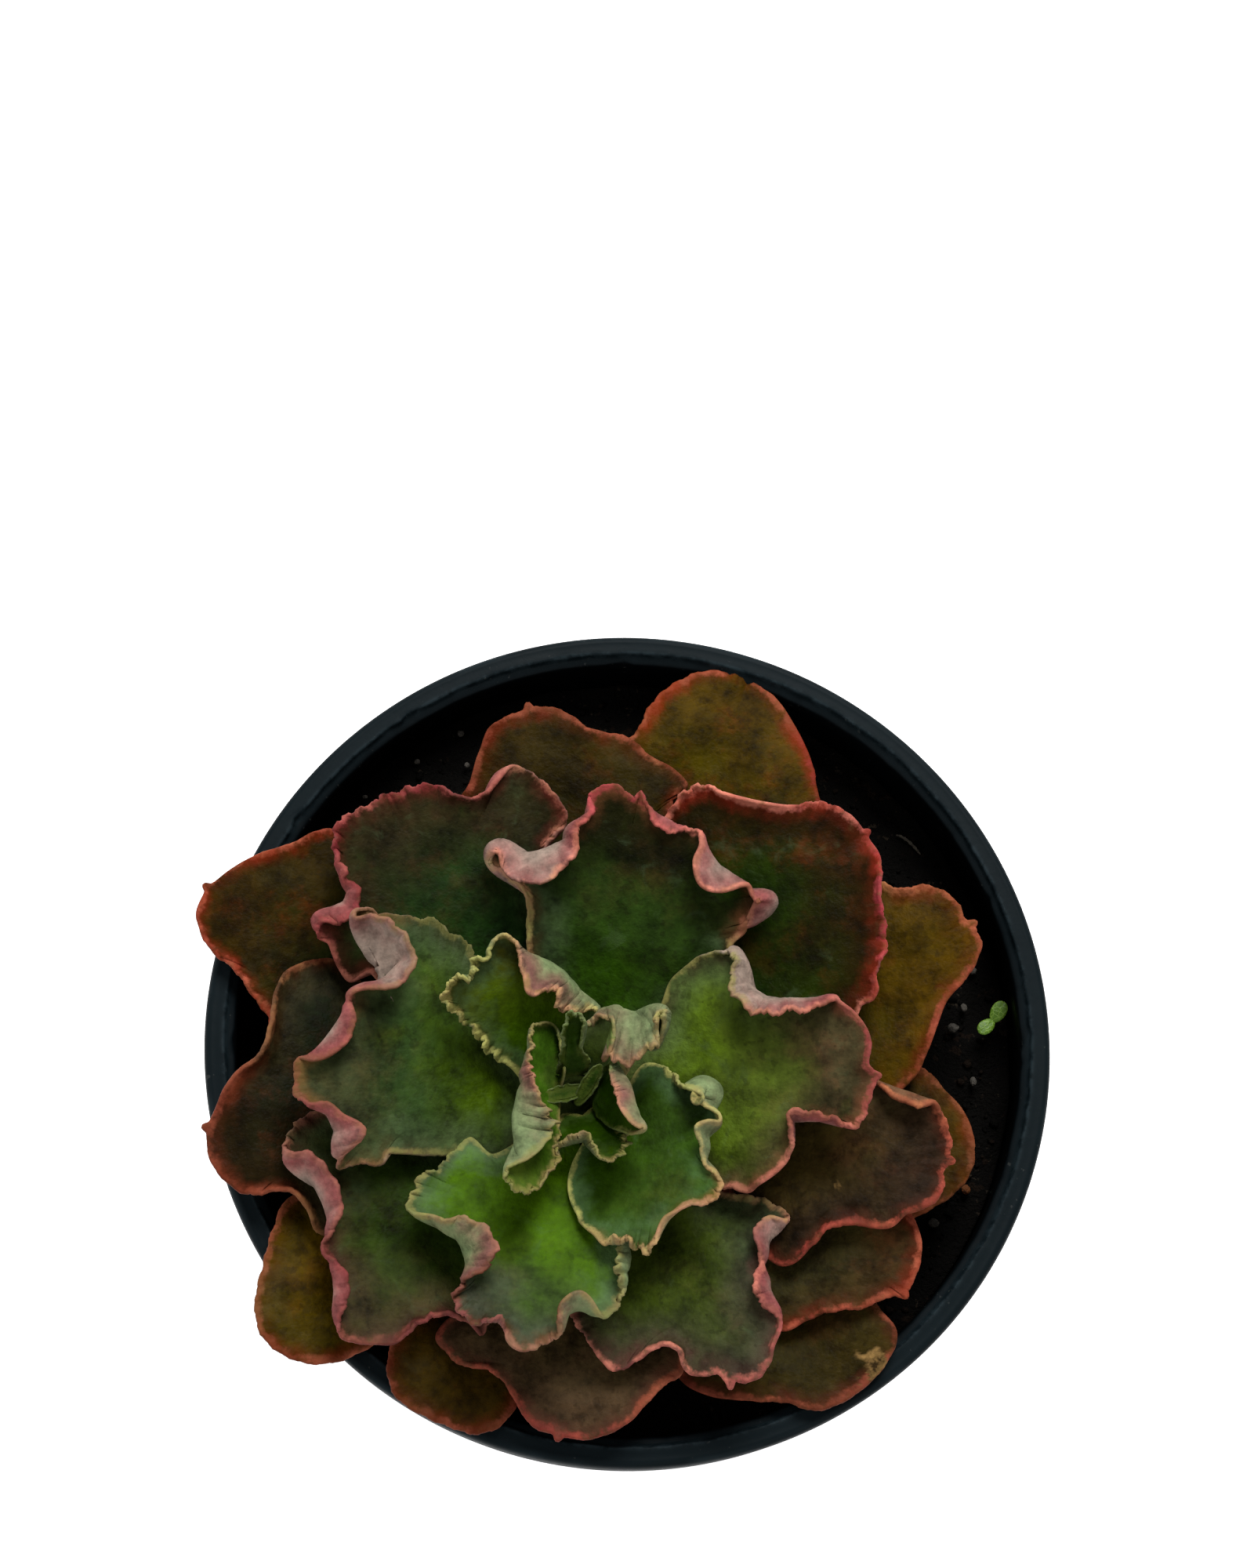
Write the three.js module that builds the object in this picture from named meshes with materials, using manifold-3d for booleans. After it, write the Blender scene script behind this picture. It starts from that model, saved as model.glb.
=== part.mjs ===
// A crinkle-leaved rosette succulent (a ruffled echeveria) growing in a round plastic nursery pot.
// Millimetres, +Z up, +X to the right, +Y to the back. The origin is the centre of the pot's underside.
import * as THREE from "three";
import { mergeVertices } from "three/addons/utils/BufferGeometryUtils.js";
import Module from "manifold-3d";

const wasm = await Module();
wasm.setup();

// ---- driving dimensions -------------------------------------------------------------------------

const POT_HEIGHT = 108;
const RIM_RADIUS = 76;
const RIM_BAND = 14.5; // height of the thicker band below the lip
const LIP_WIDTH = 4;
const BAND_STEP = 2.4; // how far the band stands out from the body below it
const BASE_RADIUS = 55;
const WALL = 1.7;
const FLOOR = 2.2;
const POT_SEGMENTS = 48;
const DRAIN_COUNT = 8;
const DRAIN_RADIUS = 4.5;
const DRAIN_CIRCLE = 41;

const SOIL_DROP = 14; // soil surface below the rim, near the wall
const SOIL_MOUND = 1.5; // how much higher the soil stands round the stem
const GAP = 0.4; // clearance between pieces that touch

const STEM_X = -10;
const STEM_Y = -13;
const STEM_ROOT = -48; // lower end of the buried stem, from the rim plane
const STEM_TOP = 14.5; // growing point above the rim plane
const STEM_SIDES = 14;

const MARGIN_BAND = 9; // width of the leaf margin that can lift or roll over
const FOLD_START = 3; // lift above which a margin starts to roll back over the blade
const FOLD_SHARE = 0.8; // roll-back for each millimetre of further lift

// Half thickness in the blade and at the margin, and the number of columns round each kind of leaf.
const LEAF_KINDS = {
  outer: { blade: 1.6, margin: 0.9, columns: 18 },
  middle: { blade: 1.6, margin: 0.9, columns: 30 },
  inner: { blade: 1.2, margin: 0.7, columns: 22 },
  heart: { blade: 0.8, margin: 0.5, columns: 18 },
  bud: { blade: 0.7, margin: 0.45, columns: 12 },
};

// Each leaf, from the oldest to the youngest. az: the direction it points, in degrees from +X.
// node: height of its foot from the rim plane. rise: its slope. hub, side: the middle of the blade,
// outward from the stem axis and to the left of the leaf's direction. edge: the outline round that
// middle as [angle from the leaf's direction in degrees, distance, lift of the margin].
const LEAVES = {
  leaf_outer_01: { az: 67, node: -9, rise: 0.1, hub: 52, side: 0, edge: [
    [3, 35.5, 0], [14, 35, 0], [25, 32, 0], [34, 28.5, 0], [46, 23.5, 0], [128, 23, 0],
    [164, 29, 0], [175, 43, 0], [185, 43, 0], [194, 29, 0], [219, 20.5, 0], [314, 27, 0],
    [326, 29, 0], [340, 31.5, 0], [353, 34.5, 0]
  ] },
  leaf_outer_02: { az: 95, node: -5.9, rise: 0.12, hub: 42, side: 2, edge: [
    [4, 31.5, 0], [14, 29.5, 1], [21, 26, 1], [36, 21.5, 0], [128, 18, 0], [167, 22.5, 0],
    [177, 34, 0], [190, 34.5, 0], [202, 24, 0], [233, 20, 0], [295, 27.5, 0], [298, 32, 0],
    [305, 32, 0], [314, 30.5, 0], [323, 31, 0], [337, 29.5, 0], [346, 31.5, 0], [353, 32.5, 0],
    [359, 32, 0]
  ] },
  leaf_outer_03: { az: 155, node: -8.6, rise: 0.175, hub: 45, side: 0, edge: [
    [5, 25.5, 0], [11, 20, 0], [25, 16, 0], [40, 14, 0], [109, 21, 0], [157, 25, 0],
    [174, 36, 0], [186, 36, 0], [199, 24.5, 0], [243, 15.5, 0], [300, 31.5, 1], [305, 31.5, 1],
    [315, 30, 1], [329, 31, 0], [341, 31.5, 0], [350, 31.5, 0], [356, 30.5, 0]
  ] },
  leaf_outer_04: { az: 190, node: -4.2, rise: 0.19, hub: 43, side: -3, edge: [
    [4, 21.5, 0], [17, 20.5, 0], [30, 18.5, 0], [39, 15.5, 1], [50, 13.5, 2], [65, 15, 1],
    [74, 18.5, 0], [154, 25.5, 0], [169, 35.5, 0], [182, 35, 0], [190, 23.5, 0], [220, 17, 0],
    [259, 30.5, 0], [268, 30.5, 1], [277, 29, 2], [283, 26, 2], [292, 20.5, 3], [305, 17.5, 3],
    [324, 19, 2], [342, 20, 1], [351, 21, 0]
  ] },
  leaf_outer_05: { az: 222, node: -9.2, rise: 0.215, hub: 46, side: 1, edge: [
    [5, 18.5, 0], [21, 14.5, 0], [34, 11.5, 1], [51, 9.5, 1], [122, 9, 0], [162, 22, 0],
    [175, 37, 0], [187, 37.5, 0], [193, 26, 0], [217, 14, 0], [275, 22.5, 1], [290, 21.5, 1],
    [309, 21, 0], [325, 22, 0], [338, 22.5, 0], [349, 21.5, 0]
  ] },
  leaf_outer_06: { az: 250, node: -7.4, rise: 0.2, hub: 44, side: 0, edge: [
    [8, 16, 0], [23, 15, 0], [39, 12.5, 0], [54, 10.5, 0], [142, 16, 0], [169, 26.5, 0],
    [174, 35, 0], [186, 35, 0], [192, 24.5, 0], [222, 8, 0], [293, 17, 1], [310, 18.5, 0],
    [322, 18.5, 0], [338, 17, 0], [356, 16, 0]
  ] },
  leaf_outer_07: { az: 270, node: -2.9, rise: 0.19, hub: 44, side: 0, edge: [
    [1, 14.5, 0], [20, 14.5, 0], [35, 14.5, 0], [54, 14.5, 1], [71, 16, 1], [77, 18, 1],
    [135, 20, 0], [167, 26.5, 0], [174, 36, 0], [186, 36, 0], [191, 26.5, 0], [221, 15, 0],
    [261, 24.5, 1], [269, 22.5, 1], [276, 19.5, 1], [279, 16, 1], [291, 13.5, 0],
    [310, 13.5, 0], [328, 14.5, 0], [347, 14, 0]
  ] },
  leaf_outer_08: { az: 314, node: -9.4, rise: 0.175, hub: 50, side: -2, edge: [
    [9, 20.5, 0], [25, 22, 0], [38, 22.5, 0], [52, 19, 0], [105, 14, 0], [145, 18, 0],
    [166, 29, 0], [173, 41.5, 0], [182, 41, 0], [187, 31, 0], [217, 20, 0], [263, 18.5, 0],
    [278, 17, 0], [299, 15, 0], [325, 15, 0], [341, 18, 0], [351, 19, 0]
  ] },
  leaf_outer_09: { az: 330, node: -5.5, rise: 0.18, hub: 44, side: -2, edge: [
    [2, 22, 0], [12, 23, 0], [26, 23, 0], [36, 22, 0], [71, 18, 0], [122, 15.5, 0],
    [164, 25, 0], [171, 36.5, 0], [182, 36, 0], [189, 24.5, 0], [217, 15, 0], [295, 16.5, 0],
    [310, 15, 0], [327, 15, 0], [348, 18.5, 0], [359, 20.5, 0]
  ] },
  leaf_outer_10: { az: 349, node: -1.9, rise: 0.19, hub: 46, side: -3, edge: [
    [7, 19.5, 0], [18, 21, 0], [27, 21, 1], [39, 20.5, 3], [45, 19, 5], [57, 17, 5],
    [73, 16, 3], [130, 15.5, 0], [161, 27.5, 0], [170, 38.5, 0], [182, 38, 0], [187, 26, 0],
    [209, 18.5, 0], [251, 20, 0], [258, 19, 1], [266, 15, 1], [278, 11.5, 1], [302, 12, 0],
    [319, 15, 1], [333, 15.5, 1], [337, 16.5, 1], [352, 19.5, 0]
  ] },
  leaf_outer_11: { az: 350, node: -9.2, rise: 0.13, hub: 50, side: 0, edge: [
    [2, 21.5, 0], [17, 22, 0], [31, 21.5, 0], [44, 20.5, 0], [60, 20.5, 0], [130, 12, 0],
    [168, 28.5, 0], [175, 41, 0], [185, 41, 0], [190, 27.5, 0], [223, 12, 0], [320, 15.5, 0],
    [335, 17, 0], [349, 19.5, 0]
  ] },
  leaf_outer_12: { az: 21, node: -6.2, rise: 0.15, hub: 50, side: -2, edge: [
    [1, 27.5, 0], [6, 29, 0], [15, 28.5, 0], [22, 29.5, 0], [33, 28.5, 0], [42, 25, 1],
    [49, 25, 1], [124, 18, 0], [159, 28, 0], [172, 41.5, 0], [183, 41, 0], [193, 26.5, 0],
    [236, 18, 0], [287, 17.5, 0], [300, 17.5, 0], [314, 17, 1], [331, 17.5, 1], [345, 19.5, 0],
    [354, 24, 0]
  ] },
  leaf_middle_01: { az: 124, node: -1.5, rise: 0.2, hub: 38, side: 0, edge: [
    [9, 26.5, 1], [17, 27, 2], [27, 24.5, 3], [36, 21.5, 4], [51, 20, 5], [139, 18.5, 0],
    [172, 30.5, 0], [188, 30.5, 0], [221, 18.5, 0], [275, 21, 0], [279, 27.5, 4],
    [288, 29.5, 4], [299, 30.5, 4], [307, 30.5, 4], [310, 28.5, 4], [313, 24, 2],
    [320, 22.5, 1], [327, 23, 2], [334, 25, 1], [344, 25.5, 1], [356, 25.5, 0]
  ] },
  leaf_middle_02: { az: 74, node: 0.1, rise: 0.31, hub: 30, side: 3, edge: [
    [3, 23, 1], [12, 25, 1], [18, 24.5, 1], [26, 23, 2], [36, 18.5, 4], [47, 16.5, 8],
    [64, 18, 9], [68, 23.5, 8], [77, 24, 6], [143, 15, 0], [177, 22, 0], [198, 23, 0],
    [233, 20, 0], [280, 24.5, 0], [285, 26.5, 0], [289, 32, 3], [294, 32.5, 4], [302, 27.5, 5],
    [305, 24.5, 6], [313, 22, 6], [324, 22, 5], [332, 23, 3], [341, 21, 2], [354, 21.5, 1]
  ] },
  leaf_middle_03: { az: 42, node: -2, rise: 0.21, hub: 42, side: 0, edge: [
    [0, 28, 0], [5, 28.5, 1], [12, 28.5, 1], [21, 27.5, 1], [30, 25, 1], [43, 24.5, 2],
    [56, 26, 3], [64, 29, 3], [72, 29, 3], [79, 27.5, 2], [111, 22.5, 0], [156, 24, 0],
    [173, 34, 0], [187, 34, 0], [207, 24.5, 0], [252, 25.5, 0], [285, 23, 1], [292, 24.5, 2],
    [301, 23, 2], [311, 24, 1], [321, 24, 1], [334, 24, 2], [344, 26, 2], [351, 27.5, 1]
  ] },
  leaf_middle_04: { az: 176, node: 2.2, rise: 0.33, hub: 28, side: 0, edge: [
    [9, 21, 1], [20, 19, 1], [24, 16, 3], [37, 15.5, 5], [47, 17.5, 6], [54, 20.5, 4],
    [66, 16.5, 2], [73, 14, 1], [101, 11, 0], [132, 12, 0], [137, 16.5, 0], [169, 20.5, 0],
    [191, 20.5, 0], [221, 18.5, 0], [254, 27, 0], [262, 28, 0], [268, 29.5, 1], [278, 29.5, 2],
    [284, 29, 4], [289, 31.5, 5], [295, 19.5, 9], [307, 20, 5], [317, 17.5, 4], [325, 15.5, 3],
    [342, 15.5, 3], [353, 19.5, 2], [359, 20.5, 1]
  ] },
  leaf_middle_05: { az: 218, node: -1, rise: 0.225, hub: 37, side: 3, edge: [
    [5, 19.5, 2], [14, 20, 1], [31, 19, 1], [40, 18, 1], [53, 14.5, 2], [70, 13.5, 2],
    [83, 16, 2], [87, 19, 0], [92, 18.5, 1], [155, 16.5, 0], [178, 29, 0], [194, 30, 0],
    [225, 21, 0], [261, 25, 1], [268, 28, 1], [277, 29, 1], [286, 28.5, 1], [289, 20, 5],
    [292, 27, 2], [302, 16.5, 5], [316, 15.5, 4], [327, 17, 2], [339, 15.5, 2], [353, 16.5, 3]
  ] },
  leaf_middle_06: { az: 2, node: 3.9, rise: 0.33, hub: 30, side: 0, edge: [
    [3, 20, 1], [16, 21.5, 1], [30, 21, 2], [38, 20, 3], [41, 17, 7], [55, 14.5, 9],
    [73, 15.5, 9], [82, 18.5, 9], [90, 25, 5], [97, 24, 3], [107, 24.5, 2], [115, 24, 1],
    [122, 23.5, 0], [131, 21.5, 0], [148, 19, 0], [170, 22.5, 0], [190, 22.5, 0], [225, 20, 0],
    [256, 18.5, 1], [266, 19, 1], [271, 18, 2], [289, 15.5, 1], [297, 14, 2], [313, 10, 4],
    [327, 14.5, 3], [330, 19.5, 2], [346, 20.5, 1], [358, 21, 0]
  ] },
  leaf_middle_07: { az: 298, node: 0, rise: 0.24, hub: 38, side: 3, edge: [
    [0, 19, 0], [8, 18.5, 1], [19, 16.5, 1], [31, 17, 1], [38, 15, 2], [43, 10.5, 4],
    [54, 9, 4], [72, 11.5, 2], [86, 10, 3], [95, 20, 1], [100, 13, 4], [107, 19, 0],
    [142, 18, 0], [178, 30, 0], [193, 31, 0], [227, 20.5, 0], [255, 22.5, 1], [268, 21.5, 1],
    [280, 21.5, 1], [289, 21, 1], [301, 13.5, 2], [315, 13, 2], [321, 15.5, 1], [330, 16.5, 0],
    [342, 16.5, 0], [349, 18.5, 0]
  ] },
  leaf_inner_01: { az: 253, node: 4.8, rise: 0.36, hub: 26, side: 2, edge: [
    [1, 20, 1], [14, 19, 1], [23, 17.5, 1], [29, 13.5, 3], [42, 12, 4], [49, 13.5, 4],
    [56, 17.5, 1], [70, 17, 2], [82, 16, 3], [129, 13, 0], [174, 18, 0], [198, 19, 0],
    [227, 17.5, 0], [250, 23, 0], [260, 24, 1], [266, 23.5, 2], [272, 24, 4], [277, 20.5, 5],
    [284, 18, 4], [307, 14, 4], [316, 17.5, 3], [322, 19, 1], [334, 19.5, 1], [346, 18, 1],
    [355, 18, 1]
  ] },
  leaf_inner_02: { az: 322, node: 7.9, rise: 0.45, hub: 18, side: 2, edge: [
    [1, 6.5, 3], [34, 4.5, 4], [54, 9, 3], [83, 8, 4], [95, 13.5, 4], [107, 11, 6],
    [162, 12.5, 0], [188, 14, 0], [210, 14, 0], [237, 17.5, 1], [247, 19, 1], [261, 20, 1],
    [272, 19, 1], [283, 18.5, 1], [292, 20.5, 2], [300, 18.5, 2], [306, 14, 3], [319, 12.5, 2],
    [337, 13, 1], [352, 12.5, 1]
  ] },
  leaf_inner_03: { az: 116, node: 7, rise: 0.48, hub: 18, side: 0, edge: [
    [6, 11, 0], [18, 10, 1], [33, 11, 2], [45, 11, 3], [58, 14, 4], [69, 16, 4], [81, 14, 3],
    [90, 12.5, 1], [155, 14.5, 0], [180, 13.2, 0], [201, 14, 0], [234, 13, 4], [238, 12.5, 8],
    [259, 8.5, 8], [296, 7, 6], [334, 6.5, 3], [345, 9, 1], [354, 11, 0]
  ] },
  leaf_inner_04: { az: 58, node: 8.8, rise: 0.75, hub: 12, side: 0, edge: [
    [29, 2.5, 4], [90, 3.5, 2], [144, 8.5, 0], [180, 8.5, 0], [216, 8.5, 0], [253, 7.5, 3],
    [284, 9, 5], [299, 9.5, 5], [316, 8, 6], [331, 4.5, 6]
  ] },
  leaf_heart_01: { az: 192, node: 11.6, rise: 1, hub: 7, side: 0, edge: [
    [11, 4.5, 7], [51, 10, 7], [54, 14, 4], [58, 12.5, 6], [70, 18.5, 2], [80, 17, 2],
    [86, 13.5, 1], [95, 12, 0], [127, 5, 0], [180, 4, 0], [233, 5, 0], [242, 12.5, 1],
    [255, 12, 3], [268, 11.5, 4], [275, 8.5, 4], [289, 6, 5]
  ] },
  leaf_heart_02: { az: 352, node: 10.5, rise: 1.25, hub: 5.5, side: 0, edge: [
    [65, 4.5, 5], [91, 5, 3], [111, 4.5, 0], [180, 2.5, 0], [249, 4.5, 0], [289, 8, 0],
    [302, 9.5, 1], [311, 9.5, 3], [316, 7, 5], [358, 3.5, 6]
  ] },
  leaf_heart_03: { az: 283, node: 8.3, rise: 1, hub: 5.5, side: 0, edge: [
    [5, 9, 1], [18, 9.5, 1], [36, 8, 1], [49, 7.4, 1], [122, 4.5, 0], [180, 1, 0],
    [238, 4.5, 0], [296, 3.9, 1], [305, 3.3, 1], [335, 3.4, 1], [349, 6, 1]
  ] },
  leaf_heart_04: { az: 100, node: 11.6, rise: 1.4, hub: 4.5, side: 0, edge: [
    [16, 3, 2], [62, 2.5, 1], [113, 4, 0], [180, 2, 0], [247, 4, 0], [273, 4.5, 1],
    [294, 4.5, 2], [314, 4.5, 3], [341, 4, 3]
  ] },
  leaf_bud_01: { az: 215, node: 12.2, rise: 1.9, hub: 3.6, side: 0, edge: [
    [0, 2, 0], [66, 2.5, 0], [103, 2.5, 0], [180, 1.5, 0], [257, 2.5, 0], [294, 2.5, 0]
  ] },
  leaf_bud_02: { az: 30, node: 13, rise: 1.9, hub: 3.4, side: 0, edge: [
    [0, 2, 0], [63, 2, 0], [105, 2.5, 0], [180, 1.5, 0], [255, 2.5, 0], [297, 2, 0]
  ] },
};

// ---- shared helpers -----------------------------------------------------------------------------

const degrees = (angle) => (angle * Math.PI) / 180;

/** A closed mesh from a flat list of vertices and triangles. */
function solid(vertices, triangles) {
  const geometry = new THREE.BufferGeometry();
  geometry.setAttribute("position", new THREE.Float32BufferAttribute(vertices.flat(), 3));
  geometry.setIndex(triangles.flat());
  geometry.computeVertexNormals();
  return geometry;
}

/** A three.js geometry as a manifold-3d solid. */
function toManifold(geometry) {
  const bare = geometry.clone();
  bare.deleteAttribute("normal");
  bare.deleteAttribute("uv");
  const merged = mergeVertices(bare, 1e-4);
  return new wasm.Manifold(new wasm.Mesh({
    numProp: 3,
    vertProperties: Float32Array.from(merged.attributes.position.array),
    triVerts: Uint32Array.from(merged.index.array),
  }));
}

/** A manifold-3d solid as a three.js geometry. */
function fromManifold(manifold) {
  const mesh = manifold.getMesh();
  const geometry = new THREE.BufferGeometry();
  geometry.setAttribute("position", new THREE.BufferAttribute(mesh.vertProperties, 3));
  geometry.setIndex(new THREE.BufferAttribute(mesh.triVerts, 1));
  geometry.computeVertexNormals();
  return geometry;
}

/** A solid of revolution about Z from a profile of [radius, height] points that starts and ends on the axis. */
function turned(profile, segments) {
  const points = profile.map(([radius, height]) => new THREE.Vector2(radius, height));
  const geometry = new THREE.LatheGeometry(points, segments);
  geometry.rotateX(Math.PI / 2);
  geometry.rotateZ(Math.PI / 2);
  return geometry;
}

/** Rings of points skinned into one closed body, with a single point closing each end. */
function skinned(bottom, rings, top) {
  const count = rings[0].length;
  const vertices = [bottom, ...rings.flat(), top];
  const last = vertices.length - 1;
  const triangles = [];
  for (let j = 0; j < count; j += 1) {
    const next = (j + 1) % count;
    triangles.push([0, 1 + next, 1 + j]);
    for (let k = 0; k < rings.length - 1; k += 1) {
      const low = 1 + k * count;
      const high = low + count;
      triangles.push([low + j, low + next, high + next]);
      triangles.push([low + j, high + next, high + j]);
    }
    const end = last - count;
    triangles.push([last, end + j, end + next]);
  }
  return solid(vertices, triangles);
}

function standard(colour, roughness) {
  return new THREE.MeshStandardMaterial({ color: colour, roughness, metalness: 0 });
}

// ---- pot, soil and stem -------------------------------------------------------------------------

/** Radius of the pot body's outer face at a height above the base. */
function potRadius(height) {
  const bodyTop = RIM_RADIUS - BAND_STEP - 0.6;
  return BASE_RADIUS + (bodyTop - BASE_RADIUS) * (height / (POT_HEIGHT - RIM_BAND));
}

/** Thin-walled tapered pot with a thicker rim band, a flat lip with an inner step, and drain holes. */
function potGeometry() {
  const bandFoot = POT_HEIGHT - RIM_BAND;
  const outer = RIM_RADIUS;
  const inner = RIM_RADIUS - LIP_WIDTH;
  const profile = [
    [0, 0],
    [BASE_RADIUS - 1.2, 0],
    [potRadius(1.2), 1.2],
    [potRadius(bandFoot), bandFoot],
    [outer - 0.9, bandFoot + 0.5],
    [outer - 0.5, bandFoot + 1.6],
    [outer, POT_HEIGHT - 1.6],
    [outer - 0.3, POT_HEIGHT - 0.5],
    [outer - 1.1, POT_HEIGHT],
    [inner + 0.6, POT_HEIGHT],
    [inner, POT_HEIGHT - 1.1],
    [inner - 1.3, POT_HEIGHT - 1.6],
    [inner - 1.6, POT_HEIGHT - 3],
    [potRadius(bandFoot) - WALL, bandFoot],
    [potRadius(FLOOR) - WALL, FLOOR],
    [0, FLOOR],
  ];
  let pot = toManifold(turned(profile, POT_SEGMENTS));
  for (let i = 0; i < DRAIN_COUNT; i += 1) {
    const angle = degrees((360 * (i + 0.5)) / DRAIN_COUNT);
    const drill = new THREE.CylinderGeometry(DRAIN_RADIUS, DRAIN_RADIUS, FLOOR * 3, 12);
    drill.rotateX(Math.PI / 2);
    drill.translate(DRAIN_CIRCLE * Math.cos(angle), DRAIN_CIRCLE * Math.sin(angle), 0);
    pot = pot.subtract(toManifold(drill));
  }
  return fromManifold(pot);
}

/** Height of the soil surface: lower at the wall, mounded at the stem, with small lumps. */
function soilHeight(x, y) {
  const fromStem = Math.hypot(x - STEM_X, y - STEM_Y);
  const mound = SOIL_MOUND * Math.exp(-((fromStem / 30) ** 2));
  const lumps = 0.5 * Math.sin(0.31 * x + 1.1) * Math.cos(0.27 * y) + 0.35 * Math.sin(0.5 * x - 0.43 * y);
  return POT_HEIGHT - SOIL_DROP + mound + lumps;
}

/** Radius of the stem at a height from the rim plane. */
function stemRadius(height) {
  const below = Math.max(0, -height);
  const above = Math.max(0, height) / STEM_TOP;
  const crown = 5.2 * Math.sqrt(Math.max(0, 1 - above * above));
  return height >= 0 ? crown : 5.2 + Math.min(3, 0.19 * below);
}

/** Potting mix filling the pot, with a well round the buried stem that is open at the surface. */
function soilGeometry() {
  const floor = FLOOR + GAP;
  const wellFloor = POT_HEIGHT + STEM_ROOT - 1;
  const wall = potRadius(POT_HEIGHT - SOIL_DROP) - WALL - GAP - 0.3;
  const sides = POT_SEGMENTS;
  const foot = potRadius(floor) - WALL - GAP - 0.3;
  const around = (radius, cx, cy, height) => Array.from({ length: sides }, (_, j) => {
    const angle = degrees((360 * j) / sides);
    const x = cx + radius * Math.cos(angle);
    const y = cy + radius * Math.sin(angle);
    return [x, y, height === null ? soilHeight(x, y) : height];
  });
  const wellTop = stemRadius(-SOIL_DROP + SOIL_MOUND) + GAP + 0.3;
  const wellFoot = stemRadius(STEM_ROOT / 2) + GAP + 0.3;
  const rings = [
    around(foot, 0, 0, floor),
    around(wall - 0.6, 0, 0, POT_HEIGHT - SOIL_DROP - 4),
    around(wall - 0.3, 0, 0, null),
    around(55, STEM_X * 0.25, STEM_Y * 0.25, null),
    around(38, STEM_X * 0.55, STEM_Y * 0.55, null),
    around(20, STEM_X, STEM_Y, null),
    around(wellTop, STEM_X, STEM_Y, null),
    around(wellFoot, STEM_X, STEM_Y, POT_HEIGHT - SOIL_DROP - 8),
    around(wellFoot, STEM_X, STEM_Y, wellFloor),
  ];
  return skinned([0, 0, floor], rings, [STEM_X, STEM_Y, wellFloor]);
}

/** Short thick stem: a blunt root end in the soil, tapering up to the growing point. */
function stemGeometry() {
  const heights = [STEM_ROOT + 1.5, STEM_ROOT + 8, -24, -10, -5, 0, 5, 9, 12, 13.8];
  const rings = heights.map((height, i) => {
    const blunt = i === 0 ? 0.6 : 1;
    return Array.from({ length: STEM_SIDES }, (_, j) => {
      const angle = degrees((360 * j) / STEM_SIDES);
      const radius = stemRadius(height) * blunt;
      return [
        STEM_X + radius * Math.cos(angle),
        STEM_Y + radius * Math.sin(angle),
        POT_HEIGHT + height,
      ];
    });
  });
  const foot = [STEM_X, STEM_Y, POT_HEIGHT + STEM_ROOT];
  return skinned(foot, rings, [STEM_X, STEM_Y, POT_HEIGHT + STEM_TOP]);
}

// ---- leaves -------------------------------------------------------------------------------------

/** Smooth closed curve through the outline's values: column 1 is the distance, column 2 the lift. */
function aroundEdge(edge, angle, column) {
  const count = edge.length;
  const turn = ((((angle - edge[0][0]) % 360) + 360) % 360) + edge[0][0];
  let i = count - 1;
  while (i > 0 && edge[i][0] > turn) i -= 1;
  const knot = (k) => {
    const wrapped = ((k % count) + count) % count;
    return [edge[wrapped][0] + 360 * Math.floor(k / count), edge[wrapped][column]];
  };
  const [before, start, end, after] = [knot(i - 1), knot(i), knot(i + 1), knot(i + 2)];
  const width = end[0] - start[0];
  const t = (turn - start[0]) / width;
  const leave = ((end[1] - before[1]) / (end[0] - before[0])) * width;
  const arrive = ((after[1] - start[1]) / (after[0] - start[0])) * width;
  return (1 + 2 * t) * (1 - t) ** 2 * start[1] + t * (1 - t) ** 2 * leave
    + t * t * (3 - 2 * t) * end[1] + t * t * (t - 1) * arrive;
}

/**
 * Middle surface of a leaf in its own frame. The reach runs 0 to 1 from the hub to the margin band
 * and 1 to 2 across the band. Across the band the section is a quadratic curve that leaves the
 * blade level, turns up by the lift, and rolls back over the blade where the lift is large, with
 * its outermost point always on the outline.
 */
function leafPoint(leaf, angle, reach) {
  const outline = aroundEdge(leaf.edge, angle, 1);
  const lift = aroundEdge(leaf.edge, angle, 2);
  const band = Math.min(0.35 * outline, MARGIN_BAND);
  const start = outline - band;
  const fold = Math.max(0, lift - FOLD_START) * FOLD_SHARE;
  const turnUp = Math.min(1, Math.abs(lift) / FOLD_START);
  const corner = outline - ((1 - turnUp) * band) / 2 + Math.sqrt(band * fold);
  const t = Math.max(0, reach - 1);
  const distance = reach <= 1
    ? start * reach
    : (1 - t) ** 2 * start + 2 * t * (1 - t) * corner + t * t * (outline - fold);
  const x = leaf.hub + distance * Math.cos(degrees(angle));
  const y = leaf.side + distance * Math.sin(degrees(angle));
  return new THREE.Vector3(x, y, leaf.node + leaf.rise * x + t * t * lift);
}

/** Upward unit normal of a leaf's middle surface, by small steps outward and round. */
function leafNormal(leaf, angle, reach) {
  const at = Math.max(reach, 0.05);
  const outward = leafPoint(leaf, angle, Math.min(at + 0.03, 2)).sub(leafPoint(leaf, angle, at - 0.03));
  const round = leafPoint(leaf, angle + 2, at).sub(leafPoint(leaf, angle - 2, at));
  return outward.cross(round).normalize();
}

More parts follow.
